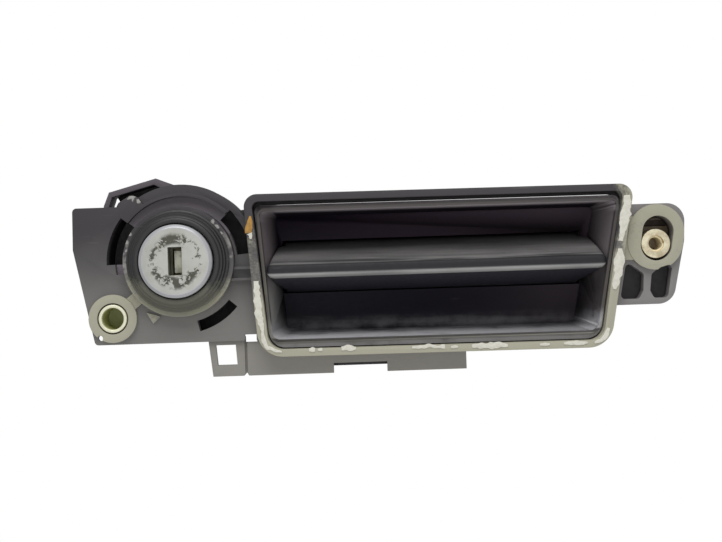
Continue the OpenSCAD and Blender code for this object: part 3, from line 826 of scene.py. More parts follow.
@dataclass(frozen=True)
class BowlPlastic(Finish):
    """Near-black plastic of the recess, hazed low down and dusty on its lip, with painted light on its
    walls, roof, back and floor and a painted highlight and painted shade on the lower lip.

    Attributes:
        haze_and_light_color: Colour of the hazed floor, also carrying painted light on the floor near the
            mouth.
        lip_color: Colour of the lip's dust.
        wall_light_color: Painted light on the walls next to the mouth.
        roof_light_color: Painted light on the roof next to the mouth.
        lip_highlight_line_color: Colour of the painted highlight line along the lower lip.
        left_wall_light: Painted light low and high on the left wall.
        right_wall_light: Painted light low and high on the right wall.
        low_back_shading: Painted shade and light at the left and right end of the lower back.
        high_back_light: Painted light at the left and right end of the upper back.
    """

    haze_and_light_color: Color = (0.50, 0.495, 0.52)
    lip_color: Color = (0.17, 0.165, 0.135)
    wall_light_color: Color = (0.085, 0.075, 0.076)
    roof_light_color: Color = (0.46, 0.42, 0.445)
    lip_highlight_line_color: Color = (0.26, 0.25, 0.22)
    left_wall_light: tuple[Color, Color] = ((0.40, 0.395, 0.375), (0.24, 0.205, 0.22))
    right_wall_light: tuple[Color, Color] = ((0.095, 0.087, 0.09), (0.30, 0.268, 0.282))
    low_back_shading: tuple[Color, Color] = ((0.0092, 0.0074, 0.0165), (0.10, 0.082, 0.098))
    high_back_light: tuple[Color, Color] = ((0.022, 0.0140, 0.0275), (0.155, 0.122, 0.150))

    def build(self) -> bpy.types.Material:
        """Builds the plastic with streaky haze on the floor, a dusty lip, and painted light and shade
        across the recess.
        """
        material, n, shader, where, grain = self.start()
        x, y, z = n.parts(where)
        # painted light: the walls lighten toward the mouth, the roof most of all
        walls = n.span(y, 0.0240, 0.0228)
        near = n.span(y, 0.018, -0.001)
        tone = n.mix(n.times(walls, n.math("POWER", near, 2.0)), self.color, self.wall_light_color)
        inside = n.span(y, 0.0, 0.0015)
        upper = n.span(z, 0.004, 0.017)
        left = n.span(n.math("ADD", x, n.times(z, 0.078)), 0.0531, 0.0526)
        right = n.span(n.math("SUBTRACT", x, n.times(z, 0.19)), 0.1470, 0.1476)
        # painted light on the left and right walls, fading toward the back
        for mask, colors, power in ((left, self.left_wall_light, 0.7), (right, self.right_wall_light, 0.35)):
            reach = n.times(n.times(mask, walls), n.math("POWER", n.span(y, 0.0245, 0.004), power))
            tone = n.mix(n.times(reach, inside), tone, n.mix(upper, *colors))
        # painted light and shade on the back wall, darker to the left and lighter to the right and higher
        # up
        along = n.math("POWER", n.span(x, 0.075, 0.150, smooth=False), 3.2)
        low_back = n.mix(along, *self.low_back_shading)
        top_back = n.mix(n.span(x, 0.062, 0.155, smooth=False), *self.high_back_light)
        back = n.mix(n.span(z, 0.011, 0.019), low_back, top_back)
        tone = n.mix(n.span(y, 0.0225, 0.0240), tone, back)
        # painted light on the roof just inside the mouth
        roof = n.times(n.span(z, 0.0280, 0.0292), n.math("POWER", n.span(y, 0.013, 0.001), 1.4))
        roof = n.times(roof, n.span(y, -0.0009, 0.0002, 0.13, 1.0))
        roof = n.times(roof, n.span(x, 0.0496, 0.0520, 0.4, 1.0))
        tone = n.mix(roof, tone, self.roof_light_color)
        # streaky haze on the floor, plus painted light that grows low down and toward the mouth
        streaks = n.noise(n.stretched(where, (30, 120, 420)), 1, 4, 0.6)
        patches = n.noise(where, 130, 5, 0.65)
        floor = n.math("ADD", n.span(z, 0.0, -0.0062, 0.0, 0.62), n.span(y, 0.0235, 0.008, 0.0, 0.38))
        floor = n.times(floor, n.span(z, 0.001, -0.003))
        smears = n.math("ADD", n.times(streaks, 0.45), n.times(patches, 0.6))
        haze_and_light = n.times(
            n.math("POWER", floor, 1.6), n.span(n.math("ADD", smears, n.times(floor, 0.25)), 0.42, 0.82),
        )
        tone = n.mix(haze_and_light, tone, self.haze_and_light_color)
        lip = n.span(y, -0.0004, -0.0009)
        low = n.span(z, 0.034, -0.006, 0.35, 1.0)
        right = n.span(x, 0.150, 0.120, 0.3, 1.0)
        ragged = n.span(patches, 0.3, 0.7, 0.4, 1.0)
        dusty = n.times(n.times(lip, low), n.times(ragged, right))
        tone = n.mix(dusty, tone, self.lip_color)
        # painted shade on the front of the lower lip, between two thin painted highlight lines
        band = n.times(n.span(y, -0.0002, -0.0006), n.span(z, -0.0074, -0.0080))
        tone = n.mix(n.times(band, 0.85), tone, (0.035, 0.033, 0.031))
        line = n.times(n.span(z, -0.0088, -0.0091), n.span(z, -0.0097, -0.0094))
        tone = n.mix(n.times(band, line), tone, self.lip_highlight_line_color)
        scuffs = n.group(GROUPS.scuffs, where, Amount=0.12)
        tone = n.mix(scuffs.outputs["Mask"], tone, self.lip_color)
        n.put(shader.inputs["Base Color"], tone)
        self.plain_surface(n, shader, grain)
        return material


@dataclass(frozen=True)
class BladePlastic(Finish):
    """Satin dark-grey plastic of the blade, with a painted highlight on the lower lip of the nose and
    painted light on its slope and underside.

    Attributes:
        rub_and_highlight_color: Colour of the painted highlight on the lower lip, and of the scuffs.
        ramp_light_color: Painted light on the upper slope behind the nose.
        underside_light_color: Colour of the underside, lighter than the body: painted light on the
            down-facing side.
    """

    rub_and_highlight_color: Color = (0.34, 0.345, 0.335)
    ramp_light_color: Color = (0.36, 0.352, 0.345)
    underside_light_color: Color = (0.050, 0.048, 0.062)

    def build(self) -> bpy.types.Material:
        """Builds the plastic with long rub marks, a painted highlight on the lower lip and painted light
        on the slope and underside.
        """
        material, n, shader, where, grain = self.start()
        x, y, z = n.parts(where)
        rubs = n.span(n.noise(n.stretched(where, (22, 90, 260)), 1, 4, 0.6), 0.3, 0.7, 0.62, 1.12)
        # painted light: the slope is palest a little behind the nose and darkens toward the root
        ramp = n.times(
            n.span(z, 0.0148, 0.0153), n.math("POWER", n.span(y, 0.024, 0.004, smooth=False), 0.6),
        )
        smear = n.span(n.noise(n.stretched(where, (18, 160, 160)), 1, 3, 0.6, 0.5), 0.38, 0.6, 0.12, 0.75)
        ramp = n.times(ramp, n.blend(n.span(y, 0.0008, 0.0085), smear, 1.0))
        # painted light on the down-facing underside
        tone = n.mix(n.span(z, 0.0113, 0.0106), self.color, self.underside_light_color)
        tone = n.mix(n.math("MULTIPLY", ramp, rubs, clamp=True), tone, self.ramp_light_color)
        # painted highlight along the lower lip
        lip = n.times(n.span(y, -0.0002, -0.0010), n.span(z, 0.0126, 0.0120))
        tone = n.mix(n.times(lip, n.times(rubs, 0.9)), tone, self.rub_and_highlight_color)
        tone = n.mix(1.0, tone, grain.outputs["Mottle"], "MULTIPLY")
        scuffs = n.group(GROUPS.scuffs, where, Amount=0.25)
        tone = n.mix(scuffs.outputs["Mask"], tone, self.rub_and_highlight_color)
        n.put(shader.inputs["Base Color"], tone)
        self.plain_surface(n, shader, grain)
        return material


@dataclass(frozen=True)
class WornSilver(Finish):
    """Silver lock face rubbed through to dark metal in a broken ring round the key slot.

    Attributes:
        bare_color: Colour where the silver is gone.
        rim_highlight_color: Painted highlight on the raised rim.
    """

    bare_color: Color = (0.10, 0.10, 0.08)
    rim_highlight_color: Color = (0.52, 0.525, 0.545)

    def build(self) -> bpy.types.Material:
        """Builds the worn silver with its ring of blotches and specks and a painted highlight on its rim.
        """
        material, n, shader, where, grain = self.start()
        centred = n.add("Mapping", vector_type="POINT")
        n.put(centred.inputs["Vector"], where)
        centred.inputs["Location"].default_value = (-LOCK_X * MM, 0, -LOCK_Z * MM)
        x, _, z = n.parts(centred.outputs[0])
        r = n.math("POWER", n.math("ADD", n.times(x, x), n.times(z, z)), 0.5)
        wobble = n.times(n.math("SUBTRACT", n.noise(where, 260, 3), 0.5), 0.0022)
        r_ragged = n.math("ADD", r, wobble)
        inner = n.span(r_ragged, 0.0044, 0.0056)
        outer = n.span(r_ragged, 0.0088, 0.0074)
        ring = n.times(inner, outer)
        blotch = n.noise(where, 760, 5, 0.72, 0.5)
        broken = n.noise(where, 170, 2, 0.5)
        amount = n.math("ADD", blotch, n.times(n.math("SUBTRACT", broken, 0.5), 0.7))
        heavy = n.span(n.math("ABSOLUTE", z), 0.0030, 0.0060, -0.02, 0.055)
        amount = n.math("ADD", amount, heavy)
        gone = n.times(n.span(amount, 0.505, 0.555), ring)
        specks = n.times(n.span(n.noise(where, 900, 4, 0.7), 0.66, 0.70), n.span(r, 0.0105, 0.0085))
        gone = n.math("MAXIMUM", gone, specks)
        stain = n.span(n.noise(where, 150, 3), 0.4, 0.7, 0, 0.35)
        tone = n.mix(stain, self.color, (0.36, 0.36, 0.30))
        # painted highlight round the raised rim
        edge = n.span(r, 0.0096, 0.0104)
        tone = n.mix(edge, tone, self.rim_highlight_color)
        tone = n.mix(gone, tone, self.bare_color)
        n.put(shader.inputs["Base Color"], tone)
        rough = n.math("ADD", self.roughness, n.times(gone, 0.3), clamp=True)
        n.put(shader.inputs["Roughness"], rough)
        level = n.math("ADD", n.times(gone, -1.0), n.times(grain.outputs["Height"], 0.3))
        self.bump(n, shader, level, self.grain)
        return material


@dataclass(frozen=True)
class PlatedMetal(Finish):
    """Bare or plated metal with brushed streaks and tarnish, with painted shade deeper back and a painted
    light patch behind the nut's bore where given.

    Attributes:
        tarnish: Colour of the tarnish.
        tarnish_amount: How much of it there is.
        shaded: Depths in millimetres where painted shade begins and is full, if any.
        shade: Colour of that painted shade.
        bottom: Colour of a painted light patch on the cage behind the nut's bore, if any.
    """

    tarnish: Color = (0.12, 0.11, 0.08)
    tarnish_amount: float = 0.4
    shaded: tuple[float, ...] = ()
    shade: Color = (0.05, 0.045, 0.035)
    bottom: Color | None = None

    def build(self) -> bpy.types.Material:
        """Builds the metal with tarnish patches, and painted shade and a painted light patch where given.
        """
        material, n, shader, where, grain = self.start()
        patch = n.span(n.noise(where, 320, 4, 0.65), 0.42, 0.68)
        tone = n.mix(n.times(patch, self.tarnish_amount), self.color, self.tarnish)
        if self.shaded:
            # painted shade that deepens back along Y, where the metal also turns less metallic
            painted_depth_shade = n.span(n.parts(where)[1], self.shaded[0] * MM, self.shaded[1] * MM)
            tone = n.mix(painted_depth_shade, tone, self.shade)
            n.put(
                shader.inputs["Metallic"],
                n.math("SUBTRACT", self.metallic, n.times(painted_depth_shade, 0.7), clamp=True),
            )
        # painted light: a bright patch on the cage seen through the nut's bore
        if self.bottom:
            away = n.add("VectorMath", operation="DISTANCE")
            n.put(away.inputs[0], n.stretched(where, (1, 0, 1)))
            away.inputs[1].default_value = (NUT_X * MM, 0, NUT_Z * MM)
            tone = n.mix(n.span(away.outputs["Value"], 0.0036, 0.0030), tone, self.bottom)
        n.put(shader.inputs["Base Color"], tone)
        brushed = n.noise(n.stretched(where, (2200, 160, 160)), 1, 3, 0.6)
        rough = n.math("ADD", self.roughness, n.times(n.math("SUBTRACT", brushed, 0.5), 0.3))
        rough = n.math("ADD", rough, n.times(patch, 0.2), clamp=True)
        n.put(shader.inputs["Roughness"], rough)
        self.bump(n, shader, n.math("ADD", grain.outputs["Height"], brushed), self.grain)
        return material


@dataclass(frozen=True)
class Residue(Finish):
    """Old sealant left on the rim, chalky or orange.

    Attributes:
        spot_color: Colour of the patches in it.
    """

    spot_color: Color = (0.45, 0.43, 0.35)

    def build(self) -> bpy.types.Material:
        """Builds the crumbly sealant."""
        material, n, shader, where, grain = self.start()
        patch = n.span(n.noise(where, 700, 4, 0.65), 0.42, 0.62)
        n.put(shader.inputs["Base Color"], n.mix(patch, self.color, self.spot_color))
        n.put(
            shader.inputs["Roughness"],
            n.math("ADD", self.roughness, grain.outputs["Rough Shift"], clamp=True),
        )
        relief = n.math("ADD", n.noise(where, 900, 4, 0.6), grain.outputs["Height"])
        self.bump(n, shader, relief, self.grain)
        return material


@dataclass
class Palette:
    """All materials of the handle, built once."""

    def __post_init__(self) -> None:
        """Builds every material."""
        self.carrier = CarrierPlastic(
            "carrier_plastic", (0.046, 0.0415, 0.046), 0.52, grain=0.014, mottle=0.06,
        ).build()
        self.bowl = BowlPlastic(
            "bowl_plastic", (0.013, 0.0095, 0.0165), 0.56, specular=0.22, grain=0.010,
        ).build()
        self.blade = BladePlastic(
            "blade_plastic", (0.022, 0.022, 0.025), 0.5, specular=0.22, grain=0.008, mottle=0.08,
        ).build()
        self.clip_plastic = Finish("clip_plastic", (0.02, 0.02, 0.022), 0.45).build()
        self.rubber = Finish("seal_rubber", (0.018, 0.018, 0.02), 0.55, grain=0.02, mottle=0.3).build()
        self.seal = CarrierPlastic(
            "dusty_seal", (0.024, 0.024, 0.025), 0.45, grain=0.015,
            low_color=(0.04, 0.04, 0.038), dust_color=(0.15, 0.148, 0.118), wear_and_highlight_color=(0.2, 0.2, 0.19),
        ).build()
        self.silver = WornSilver(
            "lock_silver", (0.545, 0.548, 0.508), 0.36, metallic=0.35, grain=0.03,
        ).build()
        self.shutter = PlatedMetal(
            "shutter_steel", (0.42, 0.42, 0.34), 0.55, metallic=0.3, tarnish=(0.14, 0.14, 0.105),
            tarnish_amount=0.7,
        ).build()
        self.zinc = PlatedMetal(
            "zinc_casting", (0.40, 0.40, 0.39), 0.5, metallic=1, tarnish=(0.2, 0.2, 0.19),
        ).build()
        self.yellow = PlatedMetal(
            "yellow_zinc", (0.92, 0.91, 0.70), 0.42, metallic=0.4, tarnish=(0.62, 0.60, 0.42),
            tarnish_amount=0.25, shaded=(0.3, 2.0), shade=(0.42, 0.44, 0.19),
        ).build()
        self.plug = PlatedMetal(
            "plug_zinc", (0.27, 0.27, 0.20), 0.6, metallic=0.1, tarnish=(0.14, 0.14, 0.10),
        ).build()
        self.cage = PlatedMetal(
            "cage_steel", (0.16, 0.125, 0.10), 0.6, metallic=0.3, tarnish=(0.07, 0.055, 0.045),
            bottom=(0.92, 0.80, 0.60),
        ).build()
        self.nut = PlatedMetal(
            "nut_zinc", (0.86, 0.79, 0.58), 0.38, metallic=0.8, tarnish=(0.36, 0.27, 0.15),
            tarnish_amount=0.5, shaded=(2.2, 7.0), shade=(0.26, 0.20, 0.13),
        ).build()
        self.thread = PlatedMetal(
            "thread_zinc", (0.95, 0.84, 0.58), 0.4, metallic=0.5, tarnish=(0.5, 0.4, 0.25),
        ).build()
        self.steel = PlatedMetal("bright_steel", (0.52, 0.52, 0.53), 0.35, metallic=1).build()
        self.spring = PlatedMetal("spring_steel", (0.30, 0.30, 0.31), 0.38, metallic=1).build()
        self.brass = PlatedMetal(
            "wafer_brass", (0.40, 0.35, 0.21), 0.5, metallic=0.6, tarnish=(0.17, 0.15, 0.09),
        ).build()
        self.cream = Residue(
            "cream_sealant", (0.76, 0.745, 0.655), 0.85, grain=0.06, spot_color=(0.68, 0.665, 0.575),
        ).build()
        self.orange = Residue(
            "orange_sealant", (0.50, 0.27, 0.05), 0.7, grain=0.10, spot_color=(0.36, 0.20, 0.06),
        ).build()


# ---------------------------------------------------------------- pieces


@dataclass(frozen=True)
class Flake:
    """A flake of old sealant on the front of the rim.

    Attributes:
        spine: X, Z and half-width along the flake, in millimetres.
        orange: True for the orange-brown sort.
    """

    spine: tuple[tuple[float, float, float], ...]
    orange: bool = False

    def outline(self, seed: int) -> Outline:
        """Works out the ragged outline.

        Args:
            seed: Seed of the raggedness.

        Returns:
            The outline.
        """
        chance = random.Random(seed)
        rows: list[tuple[Vector, Vector, float]] = []
        for (x0, z0, w0), (x1, z1, w1) in zip(self.spine, self.spine[1:]):
            along = Vector((x1 - x0, z1 - z0))
            count = max(2, int(along.length / 0.5))
            side = Vector((-along.y, along.x)).normalized()
            for k in range(count):
                t = k / count
                rows.append((Vector((x0, z0)) + along * t, side, w0 + (w1 - w0) * t))
        end = self.spine[-1]
        rows.append((Vector(end[:2]), rows[-1][1], end[2]))
        widths = []
        for _ in range(2):
            raw = [chance.uniform(0.45, 1.3) for _ in range(len(rows) + 2)]
            widths.append([(a + 2 * b + c) / 4 for a, b, c in zip(raw, raw[1:], raw[2:])])
        left = [c + s * w * k for (c, s, w), k in zip(rows, widths[0])]
        right = [c - s * w * k for (c, s, w), k in zip(rows, widths[1])]
        return Outline([tuple(p) for p in left[::-1] + right])


FLAKES = (
    Flake(((45.3, 10.3, 0.8), (45.3, 5.4, 1.3), (45.8, -0.8, 1.2), (46.7, -5.1, 0.6),
           (46.8, -8.2, 0.8), (48.0, -10.2, 0.7), (50.6, -11.3, 0.56), (52.4, -11.7, 0.28))),
    Flake(((60.7, -11.3, 0.56), (61.7, -11.3, 0.78), (62.6, -11.4, 0.56))),
    Flake(((63.4, -11.4, 0.5), (64.2, -11.4, 0.73), (64.9, -11.5, 0.45))),
    Flake(((70.7, -11.2, 0.67), (72.4, -11.1, 0.95), (74.3, -11.3, 0.9), (75.2, -11.3, 0.56))),
    Flake(
        (
            (92.4, -11.7, 0.34), (94.8, -11.5, 0.78), (97.9, -11.4, 0.67), (100.3, -11.8, 0.45),
            (102.5, -11.6, 0.78),
        ),
    ),
    Flake(((104.3, -12.0, 0.39), (105.6, -11.8, 0.73), (106.5, -11.9, 0.39))),
    Flake(
        (
            (110.8, -11.9, 0.56), (113.5, -11.9, 1.01), (116.9, -12.0, 1.18), (119.7, -11.9, 0.95),
            (121.8, -12.0, 0.45),
        ),
    ),
    Flake(((131.6, -12.1, 0.34), (133.2, -12.0, 0.56), (134.7, -12.0, 0.34))),
    Flake(((139.0, -12.0, 0.45), (141.5, -12.0, 0.78), (143.9, -12.0, 0.73), (146.4, -12.0, 0.34))),
    Flake(((148.4, -12.1, 0.45), (150.4, -11.4, 0.78), (152.0, -10.0, 0.8), (153.0, -7.7, 0.5))),
    Flake(((159.95, 32.9, 1.1), (159.85, 29.9, 1.55), (159.25, 26.5, 1.6), (158.75, 24.4, 1.4),
           (157.95, 21.9, 0.9), (157.45, 18.9, 1.0))),
    Flake(((157.3, 16.6, 0.7), (157.2, 14.1, 1.35), (156.9, 12.5, 1.55), (156.3, 9.4, 1.4),
           (155.5, 5.6, 1.2), (155.0, 4.2, 0.6))),
    Flake(((44.0, 30.3, 0.4), (43.7, 28.8, 1.0), (43.5, 26.6, 1.2), (43.6, 25.1, 1.05)), True),
    Flake(((43.6, 25.0, 0.9), (43.9, 24.2, 0.6), (44.0, 23.2, 0.25))),
)


def rim_front(edge: bmesh.types.BMEdge) -> bool:
    """Tells whether an edge bounds the front of the rim, the collar or a boss."""
    a, b = (v.co for v in edge.verts)
    level = abs(a.y - b.y) < 0.01
    raised = any(abs(a.y - y) < LEVEL_TOLERANCE for y in (RIM_Y, COLLAR_Y))
    return level and (raised or (abs(a.y) < LEVEL_TOLERANCE and a.x < 20))


@dataclass
class Carrier:
    """The moulded carrier bracket with the sealant left on its rim.

    Attributes:
        rim_y: Depth of the rim's front face.
        flake_t: How far the sealant stands out.
    """

    rim_y: float = RIM_Y
    flake_t: float = 0.28

    def build(self, palette: Palette) -> None:
        """Makes the bracket and its sealant."""
        edged_copy(
            "carrier_bracket", "carrier_body", Body.HOUSING, palette.carrier, "dark_plastic",
            0.28, 30, 3, rim_front, 0.7,
        )
        for kind, name, material in (
            (False, "sealant_cream", palette.cream), (True, "sealant_orange", palette.orange),
        ):
            piece = Piece(name)
            for i, flake in enumerate(FLAKES):
                if flake.orange == kind:
                    piece.moulding(
                        flake.outline(40 + i), [], self.rim_y - self.flake_t, self.rim_y + 0.3, 0.12,
                    )
            piece.finish(Body.HOUSING, material)


@dataclass
class Bowl:
    """The recessed bowl with its gasket and screws."""

    @staticmethod
    def _bead(edge: bmesh.types.BMEdge) -> bool:
        """Tells whether an edge bounds the front of the bead."""
        return all(abs(v.co.y + 1) < 0.02 for v in edge.verts)

    def build(self, palette: Palette) -> None:
        """Makes the bowl, its gasket and the screws behind it."""
        edged_copy(
            "grip_bowl", "bowl_body", Body.HOUSING, palette.bowl, "black_plastic",
            0.25, 30, 3, self._bead, 0.4,
        )
        dress(Body.HOUSING, (
            ("recess_gasket", "bowl_gasket", palette.rubber, "rubber", 0.1, 30, 1),
            ("bowl_screws", "bowl_screw_set", palette.steel, "steel", 0.15, 30, 2),
        ))


@dataclass
class Blade:
    """The pull blade, whose ends follow the drafted walls of the bowl.

    Attributes:
        gap: Space between its ends and the bowl.
        drum_r: Radius of its root.
        drum_span: Left and right end of the root.
        bowl_span: Depth of the bowl's mouth and of its back.
        walls: Place, lean and foot height of the left wall at the mouth and at the back, then
            of the right wall.
        nose: Depth and height of each corner of the nose, from below to above.
        end_steps: Distance from the end, inset and nose height of each end ring.
    """

    gap: float = 0.62
    drum_r: float = 8.45
    drum_span: Point = (52.55, 148.87)
    bowl_span: Point = (-1.0, 24.0)
    walls: tuple[tuple[float, float, float], ...] = (
        (49.4, -0.075, -8.1), (52.91, -0.0803, -6.35),
        (150.1, 0.1845, -8.4), (146.59, 0.1977, -6.65),
    )
    nose: tuple[Point, ...] = (
        (20.5, 7.02), (20.0, 7.12), (6.0, 9.75), (1.6, 10.72), (0.6, 10.84), (-0.4, 10.82),
        (-1.1, 10.9), (-1.6, 11.2), (
            -1.85, 11.6,
        ),
        (-1.8, 12.0), (-1.5, 12.25), (-1.28, 12.35), (-1.2, 12.6), (-1.05, 13.4), (-0.85, 14.2),
        (-0.65, 14.7), (-0.35, 15.0), (0.1, 15.12), (0.8, 15.33), (1.6, 15.55), (9.0, 17.83), (
            18.8, 20.83,
        ),
        (19.6, 21.07), (20.2, 21.25),
    )
    end_steps: tuple[tuple[float, float, float], ...] = (
        (0.0, 0.75, 0.50), (0.1, 0.42, 0.66), (0.35, 0.16, 0.80), (0.8, 0.02, 0.91), (1.5, 0.0, 0.98), (
            2.4, 0.0, 1.0,
        ),
    )

    def _profile(self) -> Outline:
        """Works out the blade's section in depth and height."""
        points = list(self.nose)
        for k in range(25):
            a = math.radians(106 - k * (106 + 100.2) / 24)
            points.append((SHAFT_Y + self.drum_r * math.cos(a), SHAFT_Z + self.drum_r * math.sin(a)))
        return Outline(points[::-1])

    def _ends(self, y: float, z: float) -> Point:
        """Finds where the blade ends at a depth and height.

        Args:
            y: Depth.
            z: Height.

        Returns:
            The left and the right end.
        """
        if math.hypot(y - SHAFT_Y, z - SHAFT_Z) < DRUM_CLEAR:
            return self.drum_span
        mouth, back = self.bowl_span
        t = (y - mouth) / (back - mouth)
        at = [x + lean * (z - foot) for x, lean, foot in self.walls]
        left = (1 - t) * at[0] + t * at[1]
        right = (1 - t) * at[2] + t * at[3]
        return left + self.gap, right - self.gap

    def _cap(self, piece: Piece, ring: list, verts: list) -> None:
        """Closes one end with a face for the wing, a step and a face for the root.

        Args:
            piece: The blade under construction.
            ring: Edges of the end ring in order.
            verts: Its vertices in order.
        """
        low, high = len(verts) - len(self.nose), len(verts) - 1
        root = piece.bm.edges.new((verts[low], verts[high]))
        wing = piece.bm.edges.new((verts[low + 1], verts[high - 1]))
        for loop in (
            ring[low + 1:high - 1] + [wing],
            [ring[low], wing, ring[high - 1], root],
            ring[high:] + ring[:low] + [root],
        ):
            made = bmesh.ops.contextual_create(piece.bm, geom=loop)["faces"]
            bmesh.ops.triangulate(piece.bm, faces=made)

    def build(self, palette: Palette) -> None:
        """Makes the blade from rings that run from one end to the other."""
        piece = Piece("blade_body")
        profile = self._profile()
        steps = [(0, s) for s in self.end_steps] + [(k / 6, (0, 0, 1.0)) for k in range(1, 6)]
        steps += [(1, s) for s in reversed(self.end_steps)]
        rings, ends = [], []
        for share, (inward, inset, squeeze) in steps:
            section = profile.offset(-inset).points
            verts = []
            for (y0, z0), (y, z) in zip(profile.points, section):
                left, right = self._ends(y0, z0)
                if share in (0, 1):
                    x = left + inward if share == 0 else right - inward
                else:
                    x = left + (right - left) * share
                if y0 < 3:
                    z = NOSE_MID + (z - NOSE_MID) * squeeze
                verts.append(piece.bm.verts.new((x, y, z)))
            ends.append(verts)
            rings.append(piece.ring(verts))
        piece.bridge(rings)
        for ring, verts in ((rings[0], ends[0]), (rings[-1], ends[-1])):
            self._cap(piece, ring, verts)
        piece.finish(Body.BLADE, palette.blade, ["pull_blade"], 60)


@dataclass
class Lock:
    """The lock's visible front: seal ring, face cap, plug and shutter.

    Attributes:
        seal: Radius and depth of each corner of the seal ring.
    """

    seal: tuple[Point, ...] = (
        (11.6, -3.0), (11.6, -7.4), (11.75, -7.85), (12.1, -8.0), (12.9, -8.0), (13.2, -7.75), (
            13.3, -7.1,
        ),
        (13.5, -6.9), (13.95, -6.85), (14.15, -6.6), (14.2, -5.9), (14.35, -5.7), (14.7, -5.65), (
            14.85, -5.4,
        ),
        (14.9, -4.9), (15.1, -4.65), (15.5, -4.6), (15.75, -4.4), (15.8, -3.0),
    )

    def build(self, palette: Palette) -> None:
        """Makes the pieces of the lock's front and back."""
        ring = Piece("seal_ring")
        ring.turned(self.seal, (LOCK_X, LOCK_Z), 120)
        for face in ring.bm.faces:
            face.smooth = True
        ring.finish(Body.HOUSING, palette.seal, ["lock_seal_ring"], 40)
        edged_copy("lock_face_cap", "face_cap", Body.PLUG, palette.silver, "lock_silver", 0.14, 30, 2,
                   self._rim, 0.26)
        edged_copy("key_shutter", "shutter_plate", Body.SHUTTER, palette.shutter, "steel", 0.1, 40, 2)
        edged_copy("lock_plug", "plug_body", Body.PLUG, palette.plug, "zinc_casting", 0.15, 30, 2)
        edged_copy("lock_barrel", "barrel_body", Body.HOUSING, palette.zinc, "zinc_casting", 0.3, 30, 2)
        edged_copy("lock_lever", "lever_plate", Body.PLUG, palette.zinc, "zinc_casting", 0.25, 30, 2)
        edged_copy(
            "barrel_clip", "barrel_ring_clip", Body.HOUSING, palette.spring, "spring_steel", 0.12, 30, 1,
        )
        edged_copy(
            "tail_circlip", "tail_ring_clip", Body.PLUG, palette.spring, "spring_steel", 0.1, 30, 1,
        )
        edged_copy(
            "lock_rod_clip", "lock_clip", Body.PLUG, palette.clip_plastic, "black_plastic", 0.2, 30, 2,
        )
        for name, centre, start, length, r, wire, turns, axis, node in (
            ("plug_coil", (LOCK_X, LOCK_Z), 26.75, 3.0, 6.85, 0.45, 3.0, "Y", "plug_spring"),
            ("shutter_coil", (23.6, -7.3), 19.52, 1.76, 0.72, 0.11, 6.0, "Z", "shutter_spring"),
        ):
            spring = Piece(name)
            spring.coil(centre, start, length, r, wire, turns, axis)
            spring.finish(Body.PLUG, palette.spring, [node])

    @staticmethod
    def _rim(edge: bmesh.types.BMEdge) -> bool:
        """Tells whether an edge runs round the front of the face."""
        a = edge.verts[0].co
        return math.hypot(a.x - LOCK_X, a.z - LOCK_Z) > 10.5 and all(v.co.y < -9.8 for v in edge.verts)


@dataclass
class Hardware:
    """Sleeve, floating nut and its cage."""

    def build(self, palette: Palette) -> None:
        """Makes the mounting hardware, with a real thread in the nut."""
        dress(Body.HOUSING, (
            ("mounting_sleeve", "sleeve", palette.yellow, "yellow_zinc", 0.25, 30, 3),
            ("floating_nut", "nut_body", palette.nut, "yellow_zinc", 0.4, 30, 3),
            ("nut_cage", "cage_plate", palette.cage, "steel", 0.15, 30, 2),
        ))
        thread = Piece("nut_thread")
        thread.coil((NUT_X, NUT_Z), 1.7, 9.2, 2.3, 0.36, 7.6, "Y")
        thread.finish(Body.HOUSING, palette.thread)


@dataclass
class Linkage:
    """Shaft, crank, release lever, springs and clips behind the bowl."""

    def build(self, palette: Palette) -> None:
        """Makes the pieces behind the bowl."""
        for node, body, material, slot, edge in (
            ("blade_shaft", Body.BLADE, palette.steel, "steel", 0.25),
            ("crank_arm", Body.BLADE, palette.zinc, "zinc_casting", 0.3),
            ("drive_pin", Body.BLADE, palette.steel, "steel", 0.2),
            ("shaft_circlips", Body.BLADE, palette.spring, "spring_steel", 0.1),
            ("release_lever", Body.RELEASE, palette.zinc, "zinc_casting", 0.3),
            ("lever_circlip", Body.RELEASE, palette.spring, "spring_steel", 0.1),
            ("release_rod_clip", Body.RELEASE, palette.clip_plastic, "black_plastic", 0.2),
            ("shaft_bushes", Body.HOUSING, palette.steel, "steel", 0.15),
            ("release_post", Body.HOUSING, palette.steel, "steel", 0.2),
            ("rest_buffer", Body.HOUSING, palette.rubber, "rubber", 0.3),
        ):
            edged_copy(node, node + "_dressed", body, material, slot, edge, 30, 2)
        spring = Piece("return_coil")
        spring.coil((SHAFT_Y, SHAFT_Z), 157.7, 6.6, 3.9, 0.62, 4.5, "X")
        spring.finish(Body.BLADE, palette.spring, ["return_spring"])


def dress_rest(palette: Palette) -> None:
    """Gives the CAD nodes that stay their materials."""
    for name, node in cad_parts.items():
        if node.hide_render:
            continue
        log.info("kept from the CAD: %s", name)
        node.data.materials.clear()
        node.data.materials.append(palette.brass if "wafer" in name else palette.steel)


# ---------------------------------------------------------------- stage


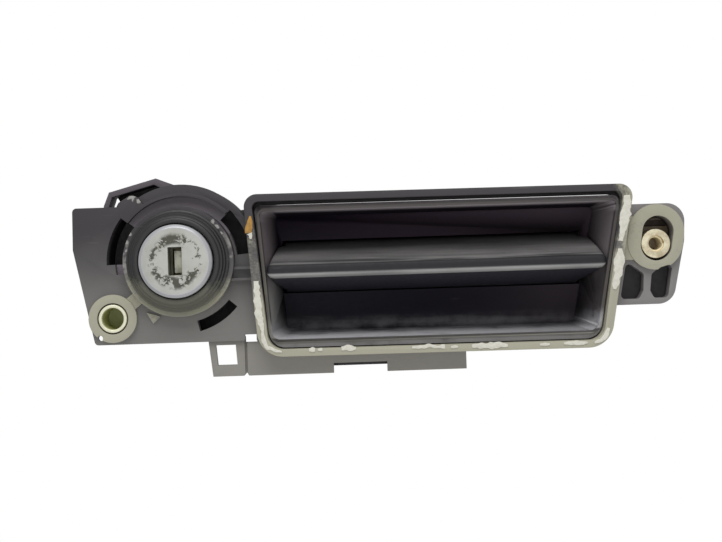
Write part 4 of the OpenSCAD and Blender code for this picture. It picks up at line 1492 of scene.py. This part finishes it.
@dataclass
class Stage:
    """Floor, lights, world and camera.

    Attributes:
        aim: What the camera looks at, X and Z in millimetres.
        distance: Camera distance in front of the boss faces.
        lens: Focal length for a 36 mm sensor.
        roll: How far the handle leans in the picture, in degrees.
    """

    aim: Point = (77.5, 12.3)
    distance: float = 400.0
    lens: float = 64.3
    roll: float = 1.9

    def camera(self) -> None:
        """Places the camera in front of the handle."""
        data = bpy.data.cameras.new("camera")
        data.lens = self.lens
        data.sensor_width = 36
        data.clip_start, data.clip_end = 0.01, 20
        camera = bpy.data.objects.new("camera", data)
        a = math.radians(self.roll)
        right = Vector((math.cos(a), 0, -math.sin(a)))
        up = Vector((math.sin(a), 0, math.cos(a)))
        turn = Matrix((right, up, Vector((0, -1, 0)))).transposed().to_4x4()
        place = Vector((self.aim[0], -self.distance, self.aim[1])) * MM
        camera.matrix_world = Matrix.Translation(place) @ turn
        bpy.context.scene.collection.objects.link(camera)
        bpy.context.scene.camera = camera

    def light(
        self, name: str, place: Sequence[float], size: float, power: float, tint: Color = (1, 1, 1),
    ) -> None:
        """Adds a soft square light aimed at the handle.

        Args:
            name: Name of the light.
            place: Where it is, in metres.
            size: Side length in metres.
            power: Power in watts.
            tint: Colour.
        """
        data = bpy.data.lights.new(name, "AREA")
        data.shape = "SQUARE"
        data.size = size
        data.energy = power
        data.color = tint
        lamp = bpy.data.objects.new(name, data)
        lamp.location = place
        aim = Vector((self.aim[0] * MM, 0, self.aim[1] * MM)) - Vector(place)
        lamp.rotation_euler = aim.to_track_quat("-Z", "Y").to_euler()
        bpy.context.scene.collection.objects.link(lamp)

    def floor(self) -> None:
        """Lays a pale round floor under the handle."""
        bm = bmesh.new()
        bmesh.ops.create_circle(bm, cap_ends=True, radius=0.17, segments=96)
        bmesh.ops.translate(bm, vec=(0.084, 0.01, -0.128), verts=bm.verts[:])
        mesh = bpy.data.meshes.new("floor")
        bm.to_mesh(mesh)
        bm.free()
        floor = bpy.data.objects.new("floor", mesh)
        mesh.materials.append(Finish(
            "floor_pale", (0.82, 0.82, 0.82), 0.7, grain=0.01, mottle=0.02,
        ).build())
        bpy.context.scene.collection.objects.link(floor)

    def world(self) -> None:
        """Makes a white surround that lights the handle less than it shows."""
        world = bpy.data.worlds.new("studio")
        bpy.context.scene.world = world
        world.use_nodes = True
        n = Nodes(world.node_tree)
        background = world.node_tree.nodes["Background"]
        background.inputs["Color"].default_value = (1, 1, 1, 1)
        seen = n.add("LightPath").outputs["Is Camera Ray"]
        n.put(background.inputs["Strength"], n.span(seen, 0, 1, WORLD_LIGHT, 1.0, False))

    def build(self) -> None:
        """Makes the whole stage."""
        self.camera()
        self.light("key_above", (0.05, -0.55, 0.75), 0.7, 5.0)
        self.light("fill_front", (0.15, -0.8, -0.25), 0.9, 1.6)
        self.floor()
        self.world()
        bpy.context.scene.view_settings.view_transform = "Standard"


def main() -> None:
    """Builds the handle piece by piece, then the stage."""
    palette = Palette()
    for part in (Carrier(), Bowl(), Blade(), Lock(), Hardware(), Linkage()):
        part.build(palette)
        log.info("built %s", type(part).__name__)
    dress_rest(palette)
    Stage().build()


if __name__ == "__main__":
    main()
